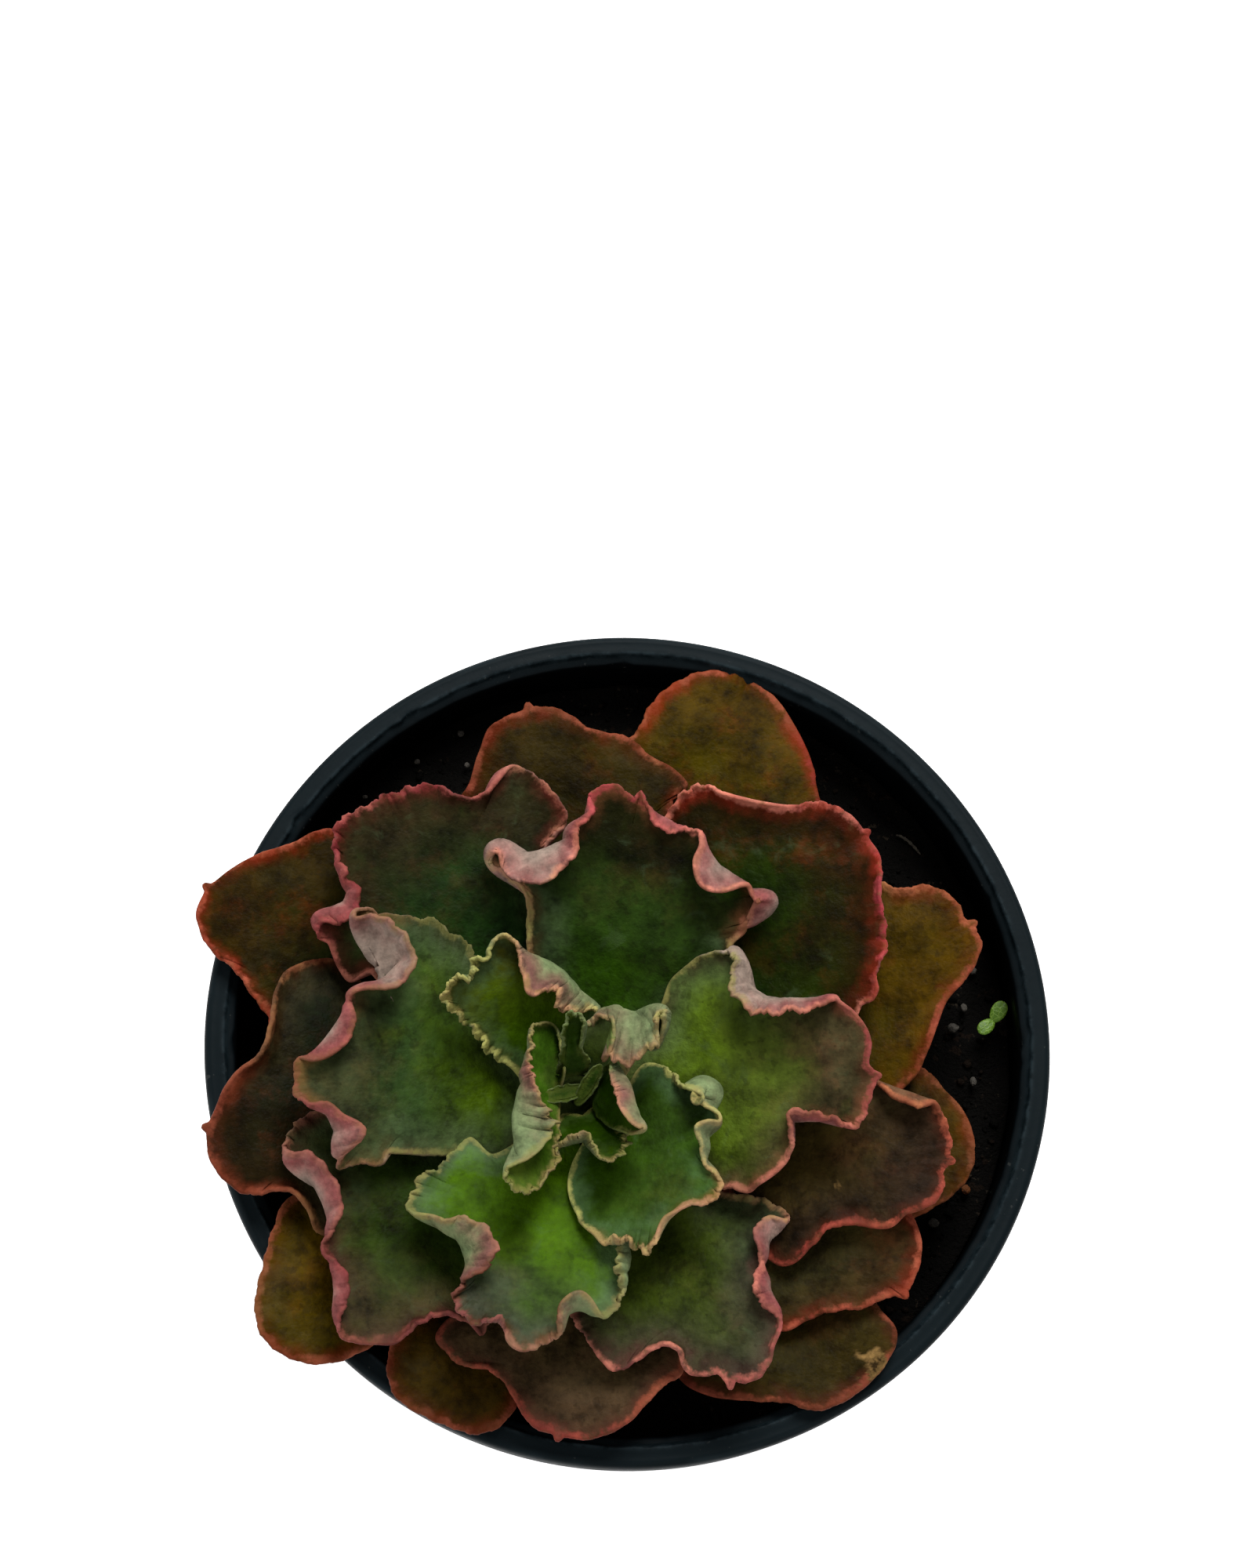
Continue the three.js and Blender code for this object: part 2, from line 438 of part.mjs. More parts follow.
/** One closed leaf: the middle surface thickened both ways, thinning to a single line at the margin. */
function leafGeometry(leaf, kind) {
  const angles = Array.from({ length: kind.columns }, (_, j) => (360 * j) / kind.columns);
  const half = (reach) => kind.blade + (kind.margin - kind.blade) * Math.max(0, reach - 1);
  const ring = (reach, side) => angles.map((angle) => {
    const normal = leafNormal(leaf, angle, reach);
    return leafPoint(leaf, angle, reach).addScaledVector(normal, side * half(reach)).toArray();
  });
  const centre = leafPoint(leaf, 0, 0);
  const up = new THREE.Vector3(-leaf.rise, 0, 1).normalize();
  const rings = [
    ring(0.9, -1),
    ring(1.6, -1),
    ring(2, 0),
    ring(1.6, 1),
    ring(1, 1),
    ring(0.5, 1),
  ];
  const low = centre.clone().addScaledVector(up, -kind.blade).toArray();
  const high = centre.clone().addScaledVector(up, kind.blade).toArray();
  return skinned(low, rings, high);
}

/** A leaf placed on the stem and turned to its direction. */
function leafMesh(name, leaf) {
  const kind = LEAF_KINDS[name.split("_")[1]];
  const mesh = new THREE.Mesh(leafGeometry(leaf, kind), leafMaterial(name));
  mesh.name = name;
  mesh.position.set(STEM_X, STEM_Y, POT_HEIGHT);
  mesh.rotation.z = degrees(leaf.az);
  return mesh;
}

/** Older leaves are olive and brown, the middle ones blue-green, the youngest yellow-green. */
function leafMaterial(name) {
  const colours = { outer: 0x7a6a2c, middle: 0x5f6f52, inner: 0x7f9a3c, heart: 0x86a23e, bud: 0x8aa848 };
  return standard(colours[name.split("_")[1]], 0.55);
}

// ---- things lying on or growing in the soil -----------------------------------------------------

/** A small angular grain resting on the soil. */
function grainGeometry(radius, seed) {
  const geometry = new THREE.IcosahedronGeometry(radius, 0);
  geometry.scale(1, 0.8 + 0.05 * seed, 0.7);
  geometry.rotateZ(seed * 1.3);
  return geometry;
}

/** A round rod along a list of points, tapering to a point at both ends. */
function rodGeometry(points, radius, sides) {
  const rings = points.slice(1, -1).map((point, i) => {
    const along = new THREE.Vector3(...points[i + 2]).sub(new THREE.Vector3(...points[i])).normalize();
    const across = new THREE.Vector3(0, 0, 1).cross(along);
    if (across.length() < 0.1) across.set(1, 0, 0);
    across.normalize();
    const over = along.clone().cross(across);
    return Array.from({ length: sides }, (_, j) => {
      const angle = (2 * Math.PI * j) / sides;
      return new THREE.Vector3(...point)
        .addScaledVector(across, radius * Math.cos(angle))
        .addScaledVector(over, radius * Math.sin(angle))
        .toArray();
    });
  });
  return skinned(points[0], rings, points[points.length - 1]);
}

/** A seedling: a thin stalk forking into two oval seed leaves, grown as one piece. */
function seedlingGeometry() {
  const [x, y] = SEEDLING.place;
  const ground = soilHeight(x, y) + GAP;
  const top = ground + SEEDLING.height;
  const stalk = rodGeometry(
    [[x, y, ground], [x, y, ground + 0.3], [x, y, top - 0.2], [x, y, top + 0.3]], 0.4, 8,
  );
  let plant = toManifold(stalk);
  for (const { turn, length, width, tilt } of SEEDLING.leaves) {
    const blade = new THREE.SphereGeometry(1, 12, 8);
    blade.scale(length / 2, width / 2, 0.45);
    blade.translate(length / 2 - 0.25, 0, 0);
    blade.rotateY(-degrees(tilt));
    blade.rotateZ(degrees(turn));
    blade.translate(x, y, top);
    plant = plant.add(toManifold(blade));
  }
  return fromManifold(plant);
}

const SEEDLING = {
  place: [67.2, 4.2],
  height: 4,
  leaves: [
    { turn: 58, length: 4.4, width: 2.9, tilt: 12 },
    { turn: 219, length: 3.9, width: 2.6, tilt: 8 },
  ],
};

// Pale grit on the soil surface: where each grain lies and its radius.
const GRAINS = [
  [-48.5, 48.5, 0.6], [-38.8, 55.2, 0.7], [-29.4, 54.5, 0.6], [-30.6, 60.6, 0.7],
  [64.5, 14.5, 0.8], [62.5, 7.5, 0.8], [60.3, 3.6, 1.1], [63.6, -6.4, 0.8], [55, -32.3, 0.9],
];
const CRUMB = [61.2, -26.3, 1.0];
const FIBRE = [[51.2, 40.8], [52.2, 40.5], [53.6, 39.6], [55, 38.2], [55.9, 37]];

// ---- assembly -----------------------------------------------------------------------------------

const plant = new THREE.Group();

function addPiece(name, geometry, material) {
  const mesh = new THREE.Mesh(geometry, material);
  mesh.name = name;
  plant.add(mesh);
  return mesh;
}

addPiece("pot", potGeometry(), standard(0x20282a, 0.55));
addPiece("soil", soilGeometry(), standard(0x17130f, 0.95));
addPiece("stem", stemGeometry(), standard(0x6b6a3a, 0.7));

for (const [name, leaf] of Object.entries(LEAVES)) {
  plant.add(leafMesh(name, leaf));
}

GRAINS.forEach(([x, y, radius], i) => {
  const grain = addPiece(`grit_${i + 1}`, grainGeometry(radius, i), standard(0xb9b4a4, 0.9));
  grain.position.set(x, y, soilHeight(x, y) + GAP + 0.3 + 0.7 * radius);
});

const crumb = addPiece("bark_crumb", grainGeometry(CRUMB[2], 2), standard(0x8a4f1c, 0.85));
crumb.position.set(CRUMB[0], CRUMB[1], soilHeight(CRUMB[0], CRUMB[1]) + GAP + 0.8);

const fibrePath = FIBRE.map(([x, y], i) => [x, y, soilHeight(x, y) + GAP + 0.35 + 0.25 * Math.sin(i)]);
addPiece("dry_fibre", rodGeometry(fibrePath, 0.3, 6), standard(0xa89c86, 0.8));

addPiece("seedling", seedlingGeometry(), standard(0x9fbf4c, 0.5));

export default plant;
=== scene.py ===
"""A crinkle-leaved rosette succulent growing in a round plastic nursery pot.

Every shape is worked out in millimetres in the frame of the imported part: +X right, +Y back,
+Z up, with the origin at the centre of the pot's underside. It is put into meshes in metres.
"""
import logging
from dataclasses import asdict, dataclass, field, replace
from enum import Enum

import bpy
import numpy as np
from mathutils import Matrix, Vector


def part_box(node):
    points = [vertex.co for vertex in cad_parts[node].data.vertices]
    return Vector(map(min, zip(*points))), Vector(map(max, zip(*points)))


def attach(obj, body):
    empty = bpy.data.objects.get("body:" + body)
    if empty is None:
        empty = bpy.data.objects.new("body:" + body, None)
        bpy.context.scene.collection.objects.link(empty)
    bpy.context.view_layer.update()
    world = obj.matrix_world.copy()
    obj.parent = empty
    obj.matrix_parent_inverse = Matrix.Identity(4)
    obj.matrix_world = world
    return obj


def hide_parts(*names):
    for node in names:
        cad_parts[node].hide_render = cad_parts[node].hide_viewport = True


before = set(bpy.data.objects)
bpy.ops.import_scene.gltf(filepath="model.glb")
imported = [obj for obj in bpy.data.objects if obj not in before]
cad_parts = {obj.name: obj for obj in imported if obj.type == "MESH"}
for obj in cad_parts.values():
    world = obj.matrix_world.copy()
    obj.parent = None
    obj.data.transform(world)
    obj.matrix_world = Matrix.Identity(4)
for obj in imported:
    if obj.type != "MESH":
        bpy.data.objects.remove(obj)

Array = np.ndarray
Socket = bpy.types.NodeSocket
Object = bpy.types.Object
Material = bpy.types.Material

MM = 0.001
BODY = "root"
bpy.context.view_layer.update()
LOG = logging.getLogger("potted_succulent")


# ---- numbers and noise

def smooth(value: Array, low: float, high: float) -> Array:
    """Rises from 0 at low to 1 at high along 3t² − 2t³."""
    t = np.clip((value - low) / (high - low), 0.0, 1.0)
    return t * t * (3.0 - 2.0 * t)


def lattice_noise(points: Array, cell: float, seed: int) -> Array:
    """Smooth noise from −1 to 1.

    A random value stands at each corner of a cubic lattice, and the eight corners round a point
    are blended by 3t² − 2t³ in each direction.

    Args:
        points: places, with x, y, z in the last axis.
        cell: the lattice spacing, in the same unit.
        seed: which set of random values.

    Returns:
        One value for each point.
    """
    period = 64
    table = np.random.default_rng(seed).uniform(-1.0, 1.0, (period, period, period))
    place = points / cell
    base = np.floor(place).astype(int)
    t = place - base
    blend = t * t * (3.0 - 2.0 * t)
    total = np.zeros(points.shape[:-1])
    for corner in np.ndindex(2, 2, 2):
        step = np.array(corner)
        weight = np.prod(np.where(step == 1, blend, 1.0 - blend), axis=-1)
        at = (base + step) % period
        total += weight * table[at[..., 0], at[..., 1], at[..., 2]]
    return total


def layered_noise(points: Array, cell: float, seed: int, layers: int = 3) -> Array:
    """Lattice noise summed over finer and finer layers, each half the size and strength.

    Args:
        points: places, with x, y, z in the last axis.
        cell: the coarsest lattice spacing.
        seed: which set of random values.
        layers: how many layers.

    Returns:
        One value for each point.
    """
    total = np.zeros(points.shape[:-1])
    for layer in range(layers):
        total += lattice_noise(points, cell * 0.5 ** layer, seed + layer) * 0.5 ** layer
    return total


def circle_noise(share: Array, waves: float, seed: int) -> Array:
    """Noise round a closed line: lattice noise along a circle of the given number of cells.

    Args:
        share: how far round the line, from 0 to 1.
        waves: how many cells there are round it.
        seed: which set of random values.

    Returns:
        One value from −1 to 1 for each share.
    """
    angle = 2.0 * np.pi * share
    radius = waves / (2.0 * np.pi)
    ring = np.stack([radius * np.cos(angle), radius * np.sin(angle), 0.0 * angle + 0.5], axis=-1)
    return lattice_noise(ring + 20.0, 1.0, seed)


def closed_curve(knots: Array, angles: Array, column: int) -> Array:
    """Smooth periodic curve through knots.

    Cubic Hermite pieces whose slope at a knot is the slope between its two neighbours.

    Args:
        knots: rows of an angle in degrees, rising, and the values there.
        angles: where the curve is wanted, in degrees.
        column: which value column.

    Returns:
        The curve's value at each angle.
    """
    at = np.concatenate([knots[:, 0] - 360.0, knots[:, 0], knots[:, 0] + 360.0])
    value = np.tile(knots[:, column], 3)
    slope = np.zeros_like(value)
    slope[1:-1] = (value[2:] - value[:-2]) / (at[2:] - at[:-2])
    turned = np.mod(angles - knots[0, 0], 360.0) + knots[0, 0]
    i = np.clip(np.searchsorted(at, turned, side="right") - 1, 0, len(at) - 2)
    width = at[i + 1] - at[i]
    t = (turned - at[i]) / width
    return (
        (1 + 2 * t) * (1 - t) ** 2 * value[i]
        + t * (1 - t) ** 2 * width * slope[i]
        + t * t * (3 - 2 * t) * value[i + 1]
        + t * t * (t - 1) * width * slope[i + 1]
    )


def unit(vectors: Array) -> Array:
    """The same directions with length 1."""
    return vectors / np.maximum(np.linalg.norm(vectors, axis=-1, keepdims=True), 1e-9)


# ---- meshes

def grid_triangles(rows: int, columns: int, wrap: bool = True, start: int = 0) -> Array:
    """Two triangles for each cell of a grid of points numbered row by row.

    With the rows running outward and the columns counter-clockwise, the faces look up.

    Args:
        rows: number of rows.
        columns: number of points in a row.
        wrap: whether the last column joins the first.
        start: number of the first point.

    Returns:
        The triangles' point numbers, three to a row.
    """
    i, j = np.meshgrid(np.arange(rows - 1), np.arange(columns if wrap else columns - 1), indexing="ij")
    right = (j + 1) % columns
    near, far = start + i * columns, start + (i + 1) * columns
    first = np.stack([near + j, far + j, far + right], axis=-1).reshape(-1, 3)
    second = np.stack([near + j, far + right, near + right], axis=-1).reshape(-1, 3)
    return np.concatenate([first, second])


def welded(points: Array, triangles: Array) -> tuple[Array, Array, Array]:
    """Points closer than a tenth of a micrometre become one, and collapsed triangles go.

    Args:
        points: places in millimetres.
        triangles: point numbers.

    Returns:
        The kept points' numbers in the old list, and the triangles, and the points.
    """
    keys = np.round(points * 1e4).astype(np.int64)
    _, kept, new = np.unique(keys, axis=0, return_index=True, return_inverse=True)
    faces = new.reshape(-1)[triangles]
    whole = (faces[:, 0] != faces[:, 1]) & (faces[:, 1] != faces[:, 2]) & (faces[:, 0] != faces[:, 2])
    return kept, faces[whole], points[kept]


def make_piece(name: str, points: Array, triangles: Array, masks: dict[str, Array] | None = None) -> Object:
    """A smooth-shaded mesh object at the origin, riding on the pot's body.

    Args:
        name: the piece's name.
        points: places in millimetres.
        triangles: point numbers, counter-clockwise from outside.
        masks: named values, one for each point, that materials read.

    Returns:
        The new object.
    """
    kept, faces, places = welded(points, triangles)
    mesh = bpy.data.meshes.new(name)
    mesh.vertices.add(len(places))
    mesh.vertices.foreach_set("co", (places * MM).astype(np.float32).ravel())
    mesh.loops.add(faces.size)
    mesh.loops.foreach_set("vertex_index", faces.astype(np.int32).ravel())
    mesh.polygons.add(len(faces))
    mesh.polygons.foreach_set("loop_start", np.arange(0, faces.size, 3, dtype=np.int32))
    mesh.polygons.foreach_set("use_smooth", np.ones(len(faces), dtype=bool))
    for mask, values in (masks or {}).items():
        attribute = mesh.attributes.new(mask, "FLOAT", "POINT")
        attribute.data.foreach_set("value", np.ravel(values)[kept].astype(np.float32))
    mesh.update(calc_edges=True)
    mesh.validate()
    piece = bpy.data.objects.new(name, mesh)
    bpy.context.scene.collection.objects.link(piece)
    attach(piece, BODY)
    return piece


def grid_piece(name: str, grid: Array, masks: dict[str, Array] | None = None) -> Object:
    """A piece from one grid of points whose columns close on themselves."""
    return make_piece(name, grid.reshape(-1, 3), grid_triangles(*grid.shape[:2]), masks)


def joined(grids: list[Array]) -> tuple[Array, Array]:
    """Several grids of points, each closed round its columns, as one list of points and triangles.

    Args:
        grids: the grids, with x, y, z in the last axis.

    Returns:
        The points and the triangles.
    """
    starts = np.cumsum([0] + [grid.size // 3 for grid in grids])
    triangles = [grid_triangles(*grid.shape[:2], start=start) for grid, start in zip(grids, starts)]
    return np.concatenate([grid.reshape(-1, 3) for grid in grids]), np.concatenate(triangles)


def turned(x: Array, y: Array, angle: float | Array) -> tuple[Array, Array]:
    """x and y turned counter-clockwise by the angle in radians."""
    return x * np.cos(angle) - y * np.sin(angle), x * np.sin(angle) + y * np.cos(angle)


def dressed(piece: Object, material: Material, slot: str, *nodes: str) -> Object:
    """Gives the piece its material and hides the CAD nodes that it stands in for.

    Args:
        piece: the finished mesh.
        material: its material.
        slot: which of the record's finishes it has; not used.
        nodes: the CAD nodes that it is shown for.

    Returns:
        The same piece.
    """
    piece.data.materials.append(material)
    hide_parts(*nodes)
    LOG.info("%s: %d triangles", piece.name, len(piece.data.polygons))
    return piece


# ---- shader trees

def paint(code: str) -> tuple[float, float, float, float]:
    """A colour code such as "#7a6a2c" as the linear colour that shaders take.

    Args:
        code: the colour in hexadecimal.

    Returns:
        Red, green, blue and an opacity of 1.
    """
    channels = np.array([int(code[i:i + 2], 16) for i in (1, 3, 5)]) / 255.0
    linear = np.where(channels <= 0.04045, channels / 12.92, ((channels + 0.055) / 1.055) ** 2.4)
    return (*map(float, linear), 1.0)


class Graph:
    """Puts nodes into one shader tree and wires them."""

    def __init__(self, tree: bpy.types.NodeTree) -> None:
        """Works on this tree."""
        self.tree = tree

    def feed(self, socket: Socket, value: object) -> None:
        """Wires an output to the socket, or sets a number, a vector or a colour code on it.

        Args:
            socket: where it goes.
            value: the output, number, vector or code.
        """
        if isinstance(value, Socket):
            self.tree.links.new(value, socket)
        elif isinstance(value, str):
            socket.default_value = paint(value)
        else:
            socket.default_value = value

    def add(self, kind: str, inputs: dict | None = None, **options: object) -> bpy.types.Node:
        """Adds a node.

        Args:
            kind: the node's type, without its ShaderNode prefix.
            inputs: what goes into its sockets, by name or number.
            options: its settings.

        Returns:
            The node.
        """
        node = self.tree.nodes.new("ShaderNode" + kind)
        for option, value in options.items():
            setattr(node, option, value)
        for key, value in (inputs or {}).items():
            self.feed(node.inputs[key], value)
        return node

    def noise(self, place: Socket, scale: float, detail: float = 3.0,
              roughness: float = 0.55, distortion: float = 0.0) -> Socket:
        """Cloudy noise from 0 to 1, with scale in cells to a metre.

        Args:
            place: where the noise is read.
            scale: its cells to a metre.
            detail: how many finer layers it has.
            roughness: how strong those are.
            distortion: how much it is stirred.

        Returns:
            The noise.
        """
        inputs = {"Vector": place, "Scale": scale, "Detail": detail, "Roughness": roughness,
                  "Distortion": distortion}
        return self.add("TexNoise", inputs).outputs[0]

    def step(self, value: object, low: object, high: object) -> Socket:
        """Rises smoothly from 0 where the value is low to 1 where it is high."""
        limits = {0: value, 1: low, 2: high, 3: 0.0, 4: 1.0}
        return self.add("MapRange", limits, interpolation_type="SMOOTHSTEP").outputs[0]

    def math(self, operation: str, a: object, b: object = 0.0, c: object = 0.0) -> Socket:
        """One step of arithmetic."""
        return self.add("Math", {0: a, 1: b, 2: c}, operation=operation).outputs[0]

    def plus(self, a: object, b: object) -> Socket:
        """a + b."""
        return self.math("ADD", a, b)

    def times(self, a: object, b: object) -> Socket:
        """a · b."""
        return self.math("MULTIPLY", a, b)

    def times_plus(self, a: object, b: object, c: object) -> Socket:
        """a · b + c."""
        return self.math("MULTIPLY_ADD", a, b, c)

    def rest(self, share: object) -> Socket:
        """What is left of 1."""
        return self.math("SUBTRACT", 1.0, share)

    def swing(self, place: Socket, scale: float, detail: float, roughness: float) -> Socket:
        """Cloudy noise that swings half a unit either side of 0."""
        return self.math("SUBTRACT", self.noise(place, scale, detail, roughness), 0.5)

    def brighten(self, colour: object, gain: object) -> Socket:
        """The colour with each channel multiplied by the gain."""
        return self.add("VectorMath", {0: colour, "Scale": gain}, operation="SCALE").outputs[0]

    def mix(self, share: object, a: object, b: object, blend: str = "MIX") -> Socket:
        """Colour a going over to colour b as the share goes from 0 to 1."""
        node = self.add("Mix", {0: share, 6: a, 7: b}, data_type="RGBA", blend_type=blend)
        return node.outputs[2]

    def mask(self, name: str) -> Socket:
        """The named value that the mesh carries."""
        return self.add("Attribute", attribute_name=name).outputs["Fac"]


@dataclass(frozen=True)
class Port:
    """One named socket of a node group."""

    name: str
    kind: str = "Float"
    value: float | str | None = None


class Effect:
    """A shader node group that several materials place with their own values."""

    def __init__(self, name: str, inputs: tuple[Port, ...], outputs: tuple[Port, ...]) -> None:
        """Makes the empty group with its sockets.

        Args:
            name: its name.
            inputs: its input sockets.
            outputs: its output sockets.
        """
        self.tree = bpy.data.node_groups.new(name, "ShaderNodeTree")
        sockets = self.tree.interface
        for port in inputs:
            kind = "NodeSocket" + port.kind
            socket = sockets.new_socket(port.name, in_out="INPUT", socket_type=kind)
            if isinstance(port.value, str):
                socket.default_value = paint(port.value)
            elif port.value is not None:
                socket.default_value = port.value
        for port in outputs:
            sockets.new_socket(port.name, in_out="OUTPUT", socket_type="NodeSocket" + port.kind)
        self.graph = Graph(self.tree)
        self.source = self.tree.nodes.new("NodeGroupInput").outputs
        self.sink = self.tree.nodes.new("NodeGroupOutput").inputs

    def give(self, **results: Socket) -> None:
        """Wires the results to the group's outputs, by name."""
        for name, value in results.items():
            self.graph.feed(self.sink[name], value)

    def place(self, graph: Graph, inputs: dict[str, object]) -> bpy.types.NodeOutputs:
        """Puts the group into a material.

        Args:
            graph: the material's tree.
            inputs: values or wires for the group's inputs, by name.

        Returns:
            The group's outputs.
        """
        node = graph.tree.nodes.new("ShaderNodeGroup")
        node.node_tree = self.tree
        for name, value in inputs.items():
            graph.feed(node.inputs[name], value)
        return node.outputs


def mottle_effect() -> Effect:
    """Uneven tone: a colour made lighter and darker in soft clouds and in fine grain."""
    effect = Effect(
        "mottle",
        (Port("Place", "Vector"), Port("Colour", "Color", "#808080"), Port("Cloud Scale", value=100.0),
         Port("Grain Scale", value=900.0), Port("Depth", value=0.4)),
        (Port("Colour", "Color"), Port("Cloud"), Port("Grain")),
    )
    g, source = effect.graph, effect.source
    cloud = g.noise(source["Place"], source["Cloud Scale"], 3.0, 0.6)
    grain = g.noise(source["Place"], source["Grain Scale"], 2.0, 0.6)
    both = g.plus(g.times(cloud, 0.75), g.times(grain, 0.25))
    centred = g.times(g.math("SUBTRACT", both, 0.5), 2.0)
    gain = g.math("MAXIMUM", g.times_plus(centred, source["Depth"], 1.0), 0.15)
    effect.give(Colour=g.brighten(source["Colour"], gain), Cloud=cloud, Grain=grain)
    return effect


def mask_effect(name: str, scale: float, cover: float) -> Effect:
    """An empty group for a pattern of the given scale and cover that gives a mask."""
    inputs = (Port("Place", "Vector"), Port("Scale", value=scale), Port("Cover", value=cover))
    return Effect(name, inputs, (Port("Mask"),))


def speckle_effect() -> Effect:
    """Scattered spots of uneven size, as a mask."""
    effect = mask_effect("speckle", 300.0, 0.3)
    g, source = effect.graph, effect.source
    spots = g.noise(source["Place"], source["Scale"], 2.0, 0.5)
    patches = g.noise(source["Place"], g.times(source["Scale"], 0.22), 2.0, 0.5)
    level = g.times_plus(source["Cover"], -0.3, 0.74)
    low = g.math("SUBTRACT", level, g.times(g.math("SUBTRACT", patches, 0.5), 0.5))
    effect.give(Mask=g.step(spots, low, g.plus(low, 0.07)))
    return effect


def bloom_effect() -> Effect:
    """Pale waxy film lying in wisps and patches, as a mask."""
    effect = mask_effect("waxy_bloom", 60.0, 0.4)
    g, source = effect.graph, effect.source
    wisps = g.noise(source["Place"], source["Scale"], 6.0, 0.62, 1.2)
    low = g.times_plus(source["Cover"], -0.3, 0.68)
    effect.give(Mask=g.step(wisps, low, g.plus(low, 0.2)))
    return effect


def scuff_effect() -> Effect:
    """Fine scratches and scuffed patches, as a mask."""
    effect = mask_effect("scuffs", 90.0, 0.3)
    g, source = effect.graph, effect.source
    waver = g.add("TexNoise", {"Vector": source["Place"], "Scale": 30.0}).outputs[1]
    bent = g.add("VectorMath", {0: source["Place"], 1: g.brighten(waver, 0.012)}, operation="ADD").outputs[0]
    cells = g.add("TexVoronoi", {"Vector": bent, "Scale": source["Scale"]}, feature="DISTANCE_TO_EDGE")
    line = g.rest(g.step(cells.outputs[0], 0.002, 0.012))
    patches = g.noise(source["Place"], 55.0, 3.0, 0.6)
    low = g.times_plus(source["Cover"], -0.3, 0.72)
    effect.give(Mask=g.times(line, g.step(patches, low, g.plus(low, 0.08))))
    return effect


@dataclass
class Effects:
    """The shader effects that the materials share."""

    mottle: Effect = field(default_factory=mottle_effect)
    speckle: Effect = field(default_factory=speckle_effect)
    bloom: Effect = field(default_factory=bloom_effect)
    scuffs: Effect = field(default_factory=scuff_effect)


@dataclass(frozen=True)
class Gloss:
    """How a finish catches the light."""

    specular: float = 0.3
    relief: float = 0.2
    relief_depth: float = 0.0003


class Finish:
    """A material being made: its tree, its place in object space and its shader."""

    def __init__(self, name: str, gloss: Gloss) -> None:
        """Starts the material with the constant settings of its shader.

        Args:
            name: its name.
            gloss: how it catches the light.
        """
        self.material = bpy.data.materials.new(name)
        self.material.use_nodes = True
        self.graph = Graph(self.material.node_tree)
        self.shader = next(n for n in self.material.node_tree.nodes if n.type == "BSDF_PRINCIPLED")
        self.place = self.graph.add("TexCoord").outputs["Object"]
        self.gloss = gloss
        self.shader.inputs["Specular IOR Level"].default_value = gloss.specular

    def mottled(self, effects: Effects, colour: str, cloud: float, grain: float,
                depth: float) -> bpy.types.NodeOutputs:
        """The colour made uneven, with the sizes of its clouds and grain in cells to a metre.

        Args:
            effects: the shared effects.
            colour: the even colour.
            cloud: clouds to a metre.
            grain: grains to a metre.
            depth: how strong the unevenness is.

        Returns:
            The outputs Colour, Cloud and Grain.
        """
        return effects.mottle.place(self.graph, {
            "Place": self.place, "Colour": colour, "Cloud Scale": cloud, "Grain Scale": grain, "Depth": depth,
        })

    def speckled(self, effects: Effects, colour: Socket, spot: str, scale: float, cover: float,
                 strength: float) -> Socket:
        """The colour with scattered spots over it.

        Args:
            effects: the shared effects.
            colour: the colour under the spots.
            spot: the spots' own colour.
            scale: spots to a metre.
            cover: how much of the surface they take up.
            strength: how strongly they cover it.

        Returns:
            The spotted colour.
        """
        spots = effects.speckle.place(self.graph, {"Place": self.place, "Scale": scale, "Cover": cover})
        return self.graph.mix(self.graph.times(spots["Mask"], strength), colour, spot)

    def done(self, colour: Socket, roughness: Socket,
             height: Socket) -> Material:
        """Wires colour, roughness and relief to the shader and gives the material.

        Args:
            colour: the surface colour.
            roughness: its roughness.
            height: its relief.

        Returns:
            The material.
        """
        self.graph.feed(self.shader.inputs["Base Color"], colour)
        self.graph.feed(self.shader.inputs["Roughness"], roughness)
        bump = self.graph.add("Bump", {
            "Height": height, "Strength": self.gloss.relief, "Distance": self.gloss.relief_depth,
        })
        self.graph.feed(self.shader.inputs["Normal"], bump.outputs[0])
        return self.material


# ---- leaves

class Age(Enum):
    """How old a leaf is, from the outermost ring to the buds in the heart."""

    OUTER = "outer"
    MIDDLE = "middle"
    INNER = "inner"
    HEART = "heart"
    BUD = "bud"


@dataclass(frozen=True)
class LeafBuild:
    """Thickness, waviness and fineness of the leaves of one age, in millimetres.

    blade and margin are half thicknesses. ruffle is how far the margin stands up for each
    millimetre that the outline draws in. crimp is the size of the small frills along the margin,
    and crimp_length is their spacing. sway is the height of the blade's slow undulation.
    """

    blade: float
    margin: float
    ruffle: float
    crimp: float
    crimp_length: float
    sway: float
    columns: int
    slot: str


LEAF_BUILDS = {
    Age.OUTER: LeafBuild(1.25, 0.46, 0.25, 0.15, 4.2, 0.8, 320, "leaf_old"),
    Age.MIDDLE: LeafBuild(1.2, 0.4, 0.4, 0.25, 3.2, 0.8, 420, "leaf_mature"),
    Age.INNER: LeafBuild(0.95, 0.34, 0.5, 0.44, 2.7, 0.55, 400, "leaf_young"),
    Age.HEART: LeafBuild(0.55, 0.26, 0.4, 0.4, 2.4, 0.25, 280, "leaf_young"),
    Age.BUD: LeafBuild(0.4, 0.18, 0.0, 0.12, 2.0, 0.1, 140, "leaf_young"),
}


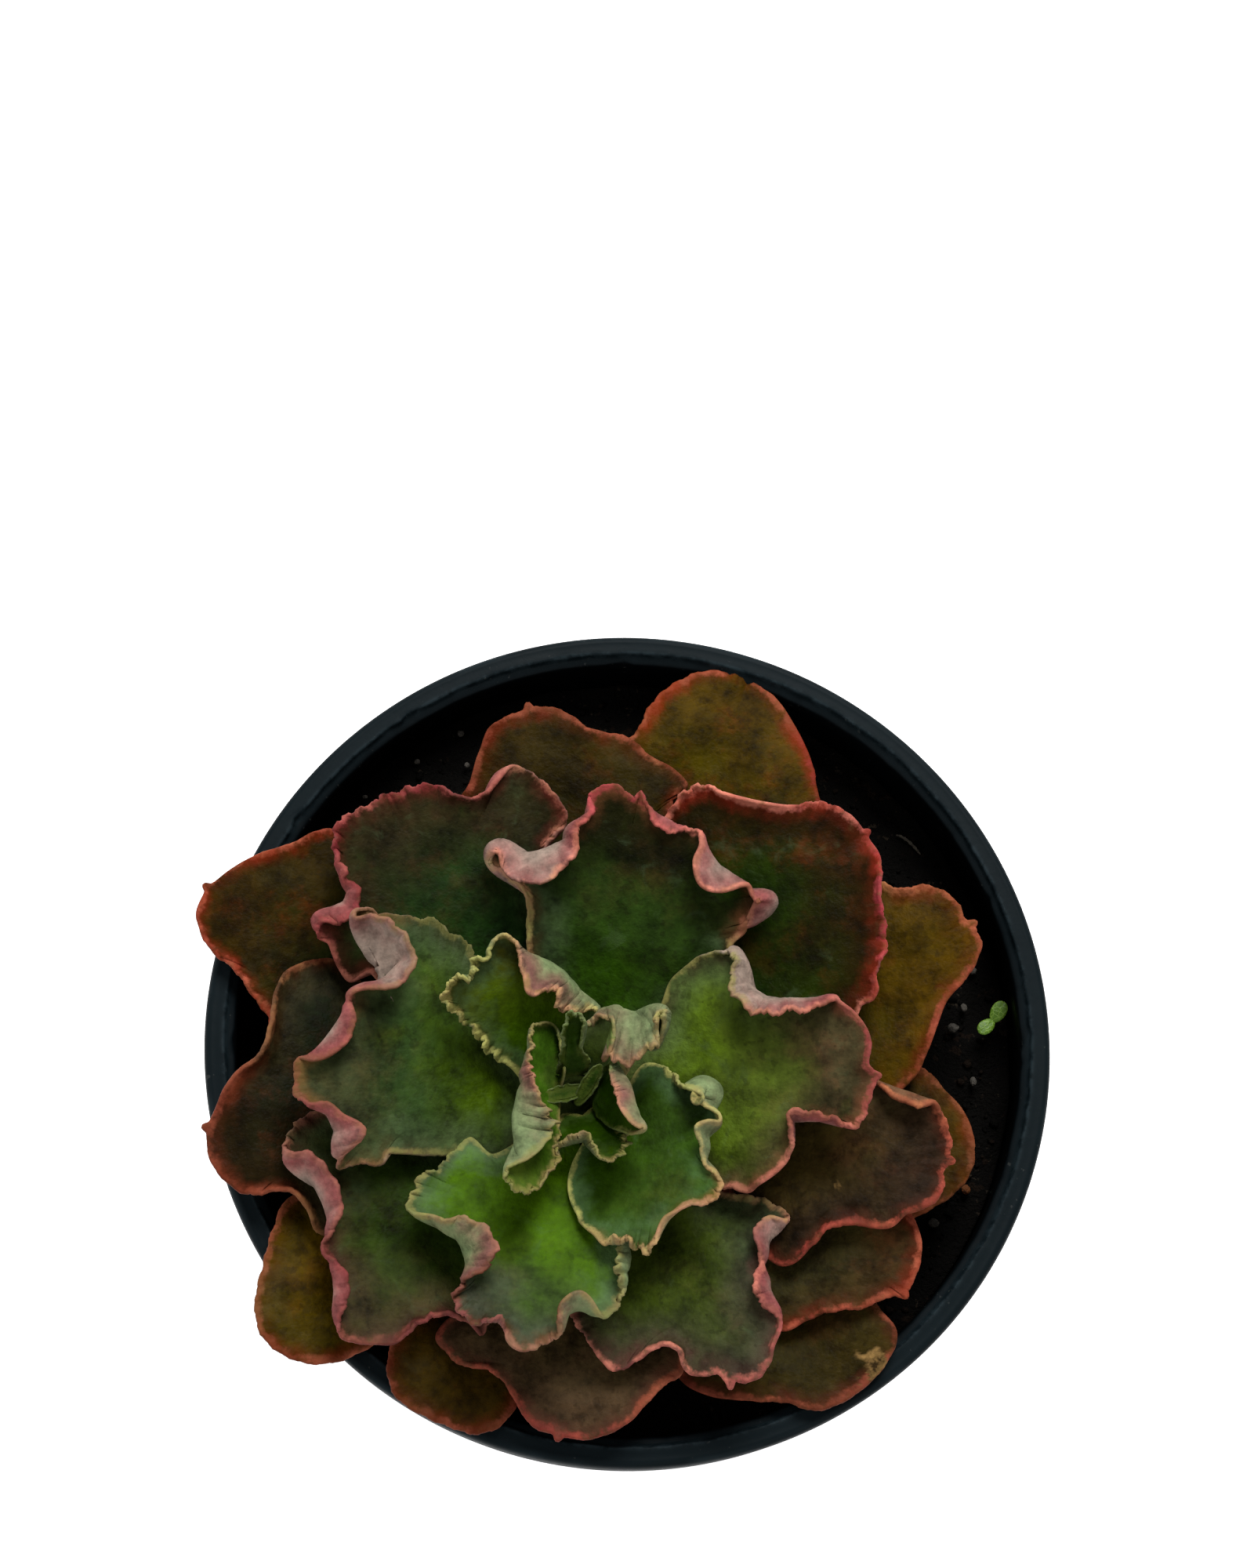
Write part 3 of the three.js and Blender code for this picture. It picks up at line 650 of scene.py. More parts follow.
MARGIN_BAND = 9.0  # width of the leaf margin that can lift or roll over
FOLD_START = 3.0  # lift above which a margin starts to roll back over the blade
FOLD_SHARE = 0.8  # roll-back for each millimetre of further lift
ROLL_WAVE = 0.14  # share by which the width of a roll comes and goes
FOOT_ANGLE = 42.0  # half the angle, round the foot, where the margin has no frills
FOOT_FADE = 25.0  # further angle over which the frills come in
AVERAGE_WIDTH = 14.0  # 360ths of the outline over which its running average is taken
CALM_WIDTH = 5.5  # the same for the line from which the margin band starts
SPOKE_WIDTH = 12.0  # the same for the directions of the blade's spokes
SQUARE_WIDTH = 7.0  # the same for the directions square to the outline
PHASE_WANDER = 3.6  # radians by which the frills run early or late
LEAF_MASKS = ("rim", "underside", "out", "blush", "scar")


@dataclass(frozen=True)
class LeafShape:
    """One leaf, in millimetres and degrees.

    az is the direction it points, from +X. node is the height of its foot from the rim plane and
    rise its slope. hub and side place the middle of the blade, outward from the stem axis and to
    the left of the leaf's direction. edge is the outline round that middle, in order, as angle
    from the leaf's direction, distance, lift of the margin where it has one and, where it rolls
    back over the blade by a width of its own, that width. blush is how pink the margin is, from 0
    for cream to 1 for crimson and below 0 where it keeps the colour of the blade, as angle and
    level. tip is where the little point at the end of the leaf stands, as an angle, and scars are
    corky marks as x, y and radius in plan.
    """

    name: str
    az: float
    node: float
    rise: float
    hub: float
    side: float
    edge: tuple[tuple[float, ...], ...]
    blush: tuple[tuple[float, float], ...] = ((0.0, 0.8),)
    tip: float | None = None
    scars: tuple[tuple[float, float, float], ...] = ()

    @property
    def age(self) -> Age:
        """The leaf's age, which is the middle word of its name."""
        return Age(self.name.split("_")[1])


def full_knot(turn: float, far: float, lift: float = 0.0, roll: float | None = None) -> tuple[float, ...]:
    """A knot of the outline with its roll, which follows from the lift where none is given."""
    return turn, far, lift, max(0.0, lift - FOLD_START) * FOLD_SHARE if roll is None else roll


@dataclass
class Leaf:
    """A fleshy leaf with a frilled, rolled margin, growing from the stem.

    The middle surface is a blade that goes out level from the hub to the margin band. Across the
    band the section is a quadratic curve that leaves the blade level, turns up by the lift, and
    rolls back over the blade by the width of the roll. The body is the middle surface thickened
    both ways along its normal, with a half-round edge.
    """

    shape: LeafShape
    stem: tuple[float, float, float]
    blade_rows: int = 12
    band_rows: int = 15
    nose_rows: int = 7
    fine: int = 1440

    def __post_init__(self) -> None:
        """Looks up the build for the leaf's age and works out the outline."""
        self.build = LEAF_BUILDS[self.shape.age]
        self.seed = sum(map(ord, self.shape.name)) * 7
        self.trace_outline()

    def trace_outline(self) -> None:
        """Works out the outline and everything the margin does, at columns evenly spaced along it.

        The knots are strung on a smooth closed curve by the straight distances between them. calm
        is that curve averaged over a short way, from which the margin band starts, and out is the
        direction square to it. Where the outline draws in from its running average it stands up,
        and where it swells out it droops. back is how far the margin rolls over. The frills are
        waves along the edge whose size and phase wander.
        """
        knots = np.array([full_knot(*knot) for knot in self.shape.edge])
        gap = np.mod(np.diff(knots[:, 0], append=knots[0, 0]) + 180.0, 360.0) - 180.0
        far, next_far = knots[:, 1], np.roll(knots[:, 1], -1)
        chord = np.hypot(next_far - far, np.radians(gap) * (far + next_far) / 2.0)
        along = (np.cumsum(chord) - chord) / chord.sum() * 360.0
        uneven = knots[0, 0] + np.cumsum(gap) - gap - along
        table = np.column_stack([along, uneven, knots[:, 1:]])
        even = np.arange(self.fine) * 360.0 / self.fine
        uneven, reach, lift, back = (closed_curve(table, even, column) for column in (1, 2, 3, 4))
        angle, back = even + uneven, np.clip(back, 0.0, None)
        x, y = reach * np.cos(np.radians(angle)), reach * np.sin(np.radians(angle))

        from_foot = np.abs(np.mod(angle, 360.0) - 180.0)
        free = smooth(from_foot, FOOT_ANGLE, FOOT_ANGLE + FOOT_FADE)
        draw = np.clip(self.blurred(reach, AVERAGE_WIDTH) - reach, -1.6, 3.0)
        lift = lift + free * self.build.ruffle * draw
        calm = np.hypot(self.blurred(x, CALM_WIDTH), self.blurred(y, CALM_WIDTH))
        spoke = even + self.blurred(uneven, SPOKE_WIDTH)
        out_x = np.gradient(self.blurred(y, SQUARE_WIDTH))
        out_y = -np.gradient(self.blurred(x, SQUARE_WIDTH))

        step = np.hypot(np.gradient(x), np.gradient(y))
        length = np.cumsum(step)[-1]
        share = np.cumsum(step) / length
        waves = np.round(length / self.build.crimp_length)
        phase = 2.0 * np.pi * waves * share + PHASE_WANDER * circle_noise(share, waves * 0.4, self.seed)
        size = 0.45 + 1.3 * circle_noise(share, waves * 0.35, self.seed + 1)
        crimp = self.build.crimp * free * np.clip(size, 0.0, 1.7) * (1.0 + np.clip(back / 4.0, 0.0, 1.0))
        back = back * (1.0 + ROLL_WAVE * circle_noise(share, waves * 0.5, self.seed + 2))
        frill_out = crimp * (np.sin(phase) + 0.45 * np.sin(3.1 * phase + 0.7) + 0.3 * np.sin(5.3 * phase))
        frill_up = crimp * (1.5 * np.sin(phase + 1.9) + 0.6 * np.sin(2.3 * phase))
        point = np.zeros(self.fine)
        density = np.ones(self.fine)
        if self.shape.tip is not None:
            off = (np.mod(angle - self.shape.tip + 180.0, 360.0) - 180.0) * np.radians(1.0) * reach
            point = 0.95 * np.exp(-((off / 0.42) ** 2)) + 0.35 * np.exp(-((off / 1.3) ** 2))
            density += 3.0 * np.exp(-((off / 1.6) ** 2))

        step = step + 0.4 * np.abs(np.gradient(lift))
        travelled = np.concatenate([[0.0], np.cumsum(step * density)])
        wanted = np.arange(self.build.columns) / self.build.columns * travelled[-1]
        place = np.interp(wanted, travelled, np.arange(self.fine + 1))
        at_columns = {
            "x": x, "y": y, "calm": calm, "reach": reach, "lift": lift, "back": back, "out_x": out_x,
            "out_y": out_y, "frill_out": frill_out, "frill_up": frill_up, "point": point,
        }
        count = np.arange(self.fine)
        self.line = {
            name: np.interp(place, count, values, period=self.fine) for name, values in at_columns.items()
        }
        self.angle = np.interp(place, np.arange(self.fine + 1), np.append(angle, angle[0] + 360.0))
        self.spoke = np.interp(place, np.arange(self.fine + 1), np.append(spoke, spoke[0] + 360.0))
        blush = np.array(self.shape.blush)
        self.blush = np.interp(self.angle, blush[:, 0], blush[:, 1], period=360.0)

    def blurred(self, values: Array, width: float) -> Array:
        """Values round the outline averaged under a bell, as wide as so many 360ths of the way.

        Args:
            values: one value for each fine step.
            width: the bell's spread.

        Returns:
            The averages.
        """
        turns = np.fft.rfftfreq(self.fine, 1.0 / self.fine)
        bell = np.exp(-0.5 * (turns * np.radians(width)) ** 2)
        return np.fft.irfft(np.fft.rfft(values) * bell, self.fine)

    def middle(self) -> Array:
        """The middle surface in the leaf's own frame: rows from the hub to the margin's end."""
        blade = np.linspace(0.0, 1.0, self.blade_rows, endpoint=False)
        band = 1.0 + np.linspace(0.0, 1.0, self.band_rows)
        steps = np.concatenate([blade, band])[:, None, None]
        line = {name: values[None, :, None] for name, values in self.line.items()}
        turn = np.radians(self.spoke)
        ray = np.stack([np.cos(turn), np.sin(turn)], axis=-1)[None]
        outward = unit(np.concatenate([line["out_x"], line["out_y"]], axis=-1))

        width = np.minimum(0.35 * line["calm"], MARGIN_BAND)
        start = ray * np.minimum(line["calm"] - width, 0.8 * line["reach"])
        edge = np.concatenate([line["x"], line["y"]], axis=-1) - outward * self.build.margin * 0.8
        span = np.clip(np.sum((edge - start) * outward, axis=-1, keepdims=True), 0.0, None)
        flat = 1.0 - np.minimum(1.0, np.abs(line["lift"]) / FOLD_START)
        bend = np.sqrt(span * line["back"])
        corner = edge + (start - edge) * flat / 2.0 + outward * bend
        t = np.clip(steps - 1.0, 0.0, 1.0)
        curved = (1 - t) ** 2 * start + 2 * t * (1 - t) * corner + t * t * (edge - outward * line["back"])
        late = 3.0 + 0.6 * line["back"]
        curved = curved + outward * (t ** late * line["frill_out"] + t ** 4 * line["point"])
        plan = np.where(steps <= 1.0, start * np.minimum(steps, 1.0), curved)
        x, y = self.shape.hub + plan[..., 0], self.shape.side + plan[..., 1]
        t, line = t[..., 0], {name: values[..., 0] for name, values in line.items()}
        climb = t * t * line["lift"] + t ** 3 * line["frill_up"]
        z = self.shape.node + self.shape.rise * x + climb + self.undulation(x, y)
        return np.stack([x, y, z], axis=-1)

    def undulation(self, x: Array, y: Array) -> Array:
        """Slow waves of the blade and a shallow trough along its middle, fading at the foot.

        Args:
            x: distance outward from the stem.
            y: distance to the left.

        Returns:
            The height to add.
        """
        flat = np.stack([x, y, np.zeros_like(x)], axis=-1)
        waves = lattice_noise(flat, 17.0, self.seed + 3) + 0.4 * lattice_noise(flat, 7.0, self.seed + 4)
        trough = -0.9 * np.exp(-((y / 9.0) ** 2)) * smooth(x, 8.0, 24.0)
        return self.build.sway * smooth(x, 6.0, 26.0) * (waves + trough)

    def half_thickness(self) -> Array:
        """Half thickness along a row: even across the blade, thinning over the margin band."""
        band = np.linspace(0.0, 1.0, self.band_rows)
        thin = self.build.blade + (self.build.margin - self.build.blade) * band ** 0.8
        return np.concatenate([np.full(self.blade_rows, self.build.blade), thin])

    def body(self) -> tuple[Array, dict[str, Array]]:
        """The closed leaf as rows from the upper pole, round the edge, to the lower pole.

        Returns:
            The grid of points, in the frame of the pot, and the masks on it: rim, the distance
            to the margin in millimetres; underside, 0 above and 1 below; out, the share of the way
            from stem to tip; blush, the pinkness of the margin; scar, the corky marks.
        """
        middle = self.middle()
        outward = np.gradient(middle, axis=0)
        around = np.roll(middle, -1, axis=1) - np.roll(middle, 1, axis=1)
        around[0] = around[1]
        normal = unit(np.cross(outward, around))
        normal[0] = unit(normal[1].mean(axis=0))
        half = self.half_thickness()[:, None, None]
        upper = middle + normal * half
        lower = (middle - normal * half)[::-1]
        end, last = middle[-1], normal[-1]
        tangent = outward[-1] - last * np.sum(outward[-1] * last, axis=-1, keepdims=True)
        along_edge = unit(around[-1])
        tangent = unit(tangent - along_edge * np.sum(tangent * along_edge, axis=-1, keepdims=True))
        sweep = np.linspace(np.pi / 2, -np.pi / 2, self.nose_rows + 2)[1:-1, None, None]
        nose = end + self.build.margin * (np.sin(sweep) * last + np.cos(sweep) * tangent)
        local = np.concatenate([upper, nose, lower])

        rows, count = local.shape[0], middle.shape[0]
        under = np.concatenate([np.zeros(count), np.linspace(0.0, 1.0, self.nose_rows), np.ones(count)])
        tip = local[..., 0].max()
        masks = {
            "rim": self.distance_to_margin(local, end),
            "underside": np.repeat(under[:, None], local.shape[1], axis=1),
            "out": np.clip(local[..., 0] / tip, 0.0, 1.0),
            "blush": np.repeat(self.blush[None, :], rows, axis=0),
        }
        grid = self.placed(local)
        masks["scar"] = self.scar_mask(grid, masks["underside"])
        return grid, masks

    def distance_to_margin(self, local: Array, end: Array) -> Array:
        """Distance from each point to the nearest point of the free margin, at most 30 mm.

        Args:
            local: points of the leaf.
            end: the line along the margin.

        Returns:
            The distances.
        """
        free = np.abs(np.mod(self.angle, 360.0) - 180.0) > 14.0
        margin = end[free]
        flat = local.reshape(-1, 3)
        nearest = np.empty(len(flat))
        for part in np.array_split(np.arange(len(flat)), 12):
            gap = flat[part][:, None, :] - margin[None, :, :]
            nearest[part] = np.sqrt(np.min(np.einsum("ijk,ijk->ij", gap, gap), axis=1))
        return np.minimum(nearest, 30.0).reshape(local.shape[:-1])

    def placed(self, local: Array) -> Array:
        """Points turned to the leaf's direction and moved to the stem.

        Args:
            local: points in the leaf's own frame.

        Returns:
            The points in the frame of the pot.
        """
        turn = np.radians(self.shape.az)
        x, y = turned(local[..., 0], local[..., 1], turn)
        return np.stack([self.stem[0] + x, self.stem[1] + y, self.stem[2] + local[..., 2]], axis=-1)

    def scar_mask(self, grid: Array, under: Array) -> Array:
        """1 on the corky marks, with ragged borders, and 0 elsewhere.

        Args:
            grid: points in the frame of the pot.
            under: 0 on the upper side and 1 on the lower.

        Returns:
            The mask.
        """
        mask = np.zeros(grid.shape[:-1])
        ragged = 1.0 + 0.8 * layered_noise(grid, 1.2, self.seed + 9, 2)
        for x, y, radius in self.shape.scars:
            far = np.hypot(grid[..., 0] - x, grid[..., 1] - y) / (radius * ragged)
            mask = np.maximum(mask, 1.0 - smooth(far, 0.75, 1.1))
        return mask * (1.0 - under)

    def make(self, material: Material) -> Object:
        """Builds the leaf's mesh and dresses it.

        Args:
            material: the leaf's skin.

        Returns:
            The finished piece.
        """
        grid, masks = self.body()
        piece = grid_piece(self.shape.name.replace("leaf_", "") + "_leaf", grid, masks)
        return dressed(piece, material, self.build.slot, self.shape.name)


# ---- leaf finish

@dataclass(frozen=True)
class LeafTones:
    """Colours of one leaf's upper side.

    foot, blade and shoulder follow each other from the stem outward. band is the flushed strip
    inside the margin, and edge_light makes the margin's line brighter or darker; that line is
    partly the margin's own colour and partly painted highlight.
    """

    foot: str
    blade: str
    shoulder: str
    band: str
    edge_light: float = 1.0


@dataclass(frozen=True)
class LeafFinish:
    """What the skins of leaves of one age share.

    edge_cream, edge_pink and edge_crimson are the margin's line at blush 0, one half and 1, partly
    the margin's own colour and partly a painted highlight along its rounded edge.
    under and under_blush are the lower side away from the margin and near it. spot colours the
    dark flecks and bloom the waxy film, and spots and film are how much there is of them.
    band_width is the width of the flushed band and flush how far the shoulder colour spreads in
    from the margin, in millimetres. depth is how uneven the tone is.
    """

    edge_cream: str
    edge_pink: str
    edge_crimson: str
    under: str
    under_blush: str
    spot: str
    bloom: str
    band_width: float
    flush: float
    spots: float
    film: float
    depth: float


def leaf_skin_effect(effects: Effects) -> Effect:
    """The whole colour of a leaf's skin, its gloss and its relief, from the masks on the leaf.

    Args:
        effects: the shared effects.

    Returns:
        The group, with outputs Colour, Roughness and Height.
    """
    colours = ("Foot", "Blade", "Shoulder", "Band", "Edge Cream", "Edge Pink", "Edge Crimson",
               "Under", "Under Blush", "Spot", "Bloom", "Scar Colour")
    values = ("Rim", "Underside", "Out", "Blush", "Scar", "Band Width", "Flush", "Spots", "Film",
              "Depth", "Edge Light")
    effect = Effect(
        "leaf_skin",
        (Port("Place", "Vector"), *(Port(n, "Color") for n in colours), *(Port(n) for n in values)),
        (Port("Colour", "Color"), Port("Roughness"), Port("Height")),
    )
    g, source = effect.graph, effect.source
    place = source["Place"]

    def mottled(colour: Socket, cloud_scale: float, grain_scale: float, depth: object) -> Socket:
        """The colour made uneven by the shared mottle."""
        return effects.mottle.place(g, {
            "Place": place, "Colour": colour, "Cloud Scale": cloud_scale, "Grain Scale": grain_scale,
            "Depth": depth,
        })["Colour"]

    cloud = g.swing(place, 120.0, 4.0, 0.62)
    hot = g.step(g.noise(place, 85.0, 3.0, 0.6), 0.4, 0.62)
    patch = g.swing(place, 42.0, 2.0, 0.5)
    grain = g.swing(place, 620.0, 4.0, 0.7)
    ragged = g.swing(place, 310.0, 4.0, 0.65)

    blush = g.times_plus(patch, 0.9, g.times_plus(ragged, 0.7, source["Blush"]))
    out = g.times_plus(patch, 0.7, g.times_plus(cloud, 0.5, source["Out"]))
    colour = g.mix(g.step(out, 0.25, 0.62), source["Foot"], source["Blade"])
    colour = g.mix(g.step(out, 0.58, 0.98), colour, source["Shoulder"])
    fresh = g.step(g.noise(place, 60.0, 4.0, 0.6), 0.5, 0.72)
    colour = g.mix(g.times(fresh, 0.65), colour, source["Foot"])
    rusty = g.step(g.noise(place, 110.0, 5.0, 0.7), 0.47, 0.68)
    rusty = g.times(rusty, g.step(source["Out"], 0.35, 0.9))
    rusty = g.times(rusty, g.times(source["Spots"], 0.4))
    colour = g.mix(rusty, colour, source["Band"])
    rim_cloudy = g.times_plus(cloud, 12.0, source["Rim"])
    flushed = g.rest(g.step(rim_cloudy, 1.0, source["Flush"]))
    rosy = g.step(blush, 0.1, 0.5)
    flushed_share = g.times(flushed, g.times_plus(rosy, 0.5, 0.3))
    colour = g.mix(flushed_share, colour, source["Shoulder"])
    unblushed = g.times(flushed, g.rest(rosy))
    colour = g.mix(g.times(unblushed, 0.5), colour, source["Bloom"])

    colour = mottled(colour, 150.0, 900.0, source["Depth"])
    blotches = g.step(g.noise(place, 210.0, 5.0, 0.7), 0.5, 0.7)
    blotches = g.times(blotches, g.step(g.noise(place, 70.0, 2.0, 0.5), 0.38, 0.6))
    colour = g.mix(g.times(blotches, source["Spots"]), colour, source["Spot"])
    spots = effects.speckle.place(g, {"Place": place, "Scale": 560.0, "Cover": source["Spots"]})
    colour = g.mix(g.times(spots["Mask"], 0.3), colour, source["Spot"])
    film = effects.bloom.place(g, {"Place": place, "Scale": 150.0, "Cover": source["Film"]})
    film_share = g.times(film["Mask"], 0.25)
    colour = g.mix(film_share, colour, source["Bloom"])

    # The margin's thin line: partly its own cream to crimson colour, partly a painted highlight along the
    # rounded edge
    edge = g.mix(g.step(blush, 0.0, 0.5), source["Edge Cream"], source["Edge Pink"])
    edge = g.mix(g.step(blush, 0.5, 1.05), edge, source["Edge Crimson"])
    rim = g.times_plus(ragged, 1.5, g.times_plus(grain, 0.9, source["Rim"]))
    rim_band = g.times_plus(cloud, 5.0, g.times_plus(patch, 3.0, rim))
    band = g.rest(g.step(rim_band, 0.2, source["Band Width"]))
    band_colour = g.mix(g.step(blush, 0.05, 0.5), source["Shoulder"], source["Band"])
    upper = g.mix(g.times(band, g.times_plus(hot, 0.72, 0.22)), colour, band_colour)
    line_rim = g.times_plus(cloud, 3.0, rim)
    edge_line = g.rest(g.step(line_rim, 0.05, 1.15))
    strength = g.times_plus(g.step(cloud, -0.14, 0.1), 0.45, 0.5)
    edge_line = g.times(edge_line, strength)
    edge_line = g.times(edge_line, g.step(source["Blush"], -1.0, 0.0))
    ruddy = g.times(g.step(g.noise(place, 170.0, 3.0, 0.6), 0.44, 0.62), 0.65)
    edge = g.mix(g.times(ruddy, g.step(blush, 0.1, 0.5)), edge, source["Band"])
    # painted highlight: pale flecks on the margin's line, and the per-leaf Edge Light gain
    pale = g.step(grain, 0.0, 0.2)
    edge = g.mix(g.times(pale, 0.35), edge, source["Edge Cream"])
    edge = g.brighten(edge, source["Edge Light"])
    upper = g.mix(g.times(edge_line, 0.9), upper, edge)

    near = g.rest(g.step(rim_band, 1.2, 5.5))
    pinker = g.times(near, g.step(blush, 0.05, 0.7))
    below = g.mix(pinker, source["Under"], source["Under Blush"])
    below = g.mix(edge_line, mottled(below, 330.0, 1300.0, 1.3), edge)
    skin = g.mix(source["Underside"], upper, below)

    skin = g.mix(source["Scar"], skin, mottled(source["Scar Colour"], 420.0, 1500.0, 3.2))

    rough = g.times_plus(cloud, 0.25, 0.5)
    rough = g.times_plus(film_share, 0.3, rough)
    rough = g.times_plus(source["Scar"], 0.3, rough)
    pits = g.noise(place, 1700.0, 2.0, 0.6)
    height = g.times_plus(pits, 0.4, g.times(grain, 0.9))
    height = g.times_plus(cloud, 2.5, height)
    effect.give(Colour=skin, Roughness=rough, Height=height)
    return effect


def title(name: str) -> str:
    """The name of a shader input for a field or a mask: edge_pink becomes Edge Pink."""
    return name.replace("_", " ").title()


@dataclass
class LeafDresser:
    """Makes the material of each leaf from its finish."""

    effects: Effects

    def __post_init__(self) -> None:
        """Builds the shared leaf skin once."""
        self.skin = leaf_skin_effect(self.effects)

    def material(self, shape: LeafShape) -> Material:
        """The material of one leaf, from the finish of its age and its own tones.

        Each field of the two goes into the input of the same name, so edge_pink feeds Edge Pink.

        Args:
            shape: the leaf.

        Returns:
            The material.
        """
        gloss = Gloss(specular=0.03, relief=0.55, relief_depth=0.0005)
        making = Finish(shape.name.replace("leaf_", "") + "_skin", gloss)
        fields = asdict(AGE_FINISHES[shape.age]) | asdict(LEAF_TONES.get(shape.name, HEART_TONES))
        inputs = {"Place": making.place, "Scar Colour": CORK}
        inputs |= {title(name): value for name, value in fields.items()}
        inputs |= {title(mask): making.graph.mask(mask) for mask in LEAF_MASKS}
        results = self.skin.place(making.graph, inputs)
        return making.done(results["Colour"], results["Roughness"], results["Height"])


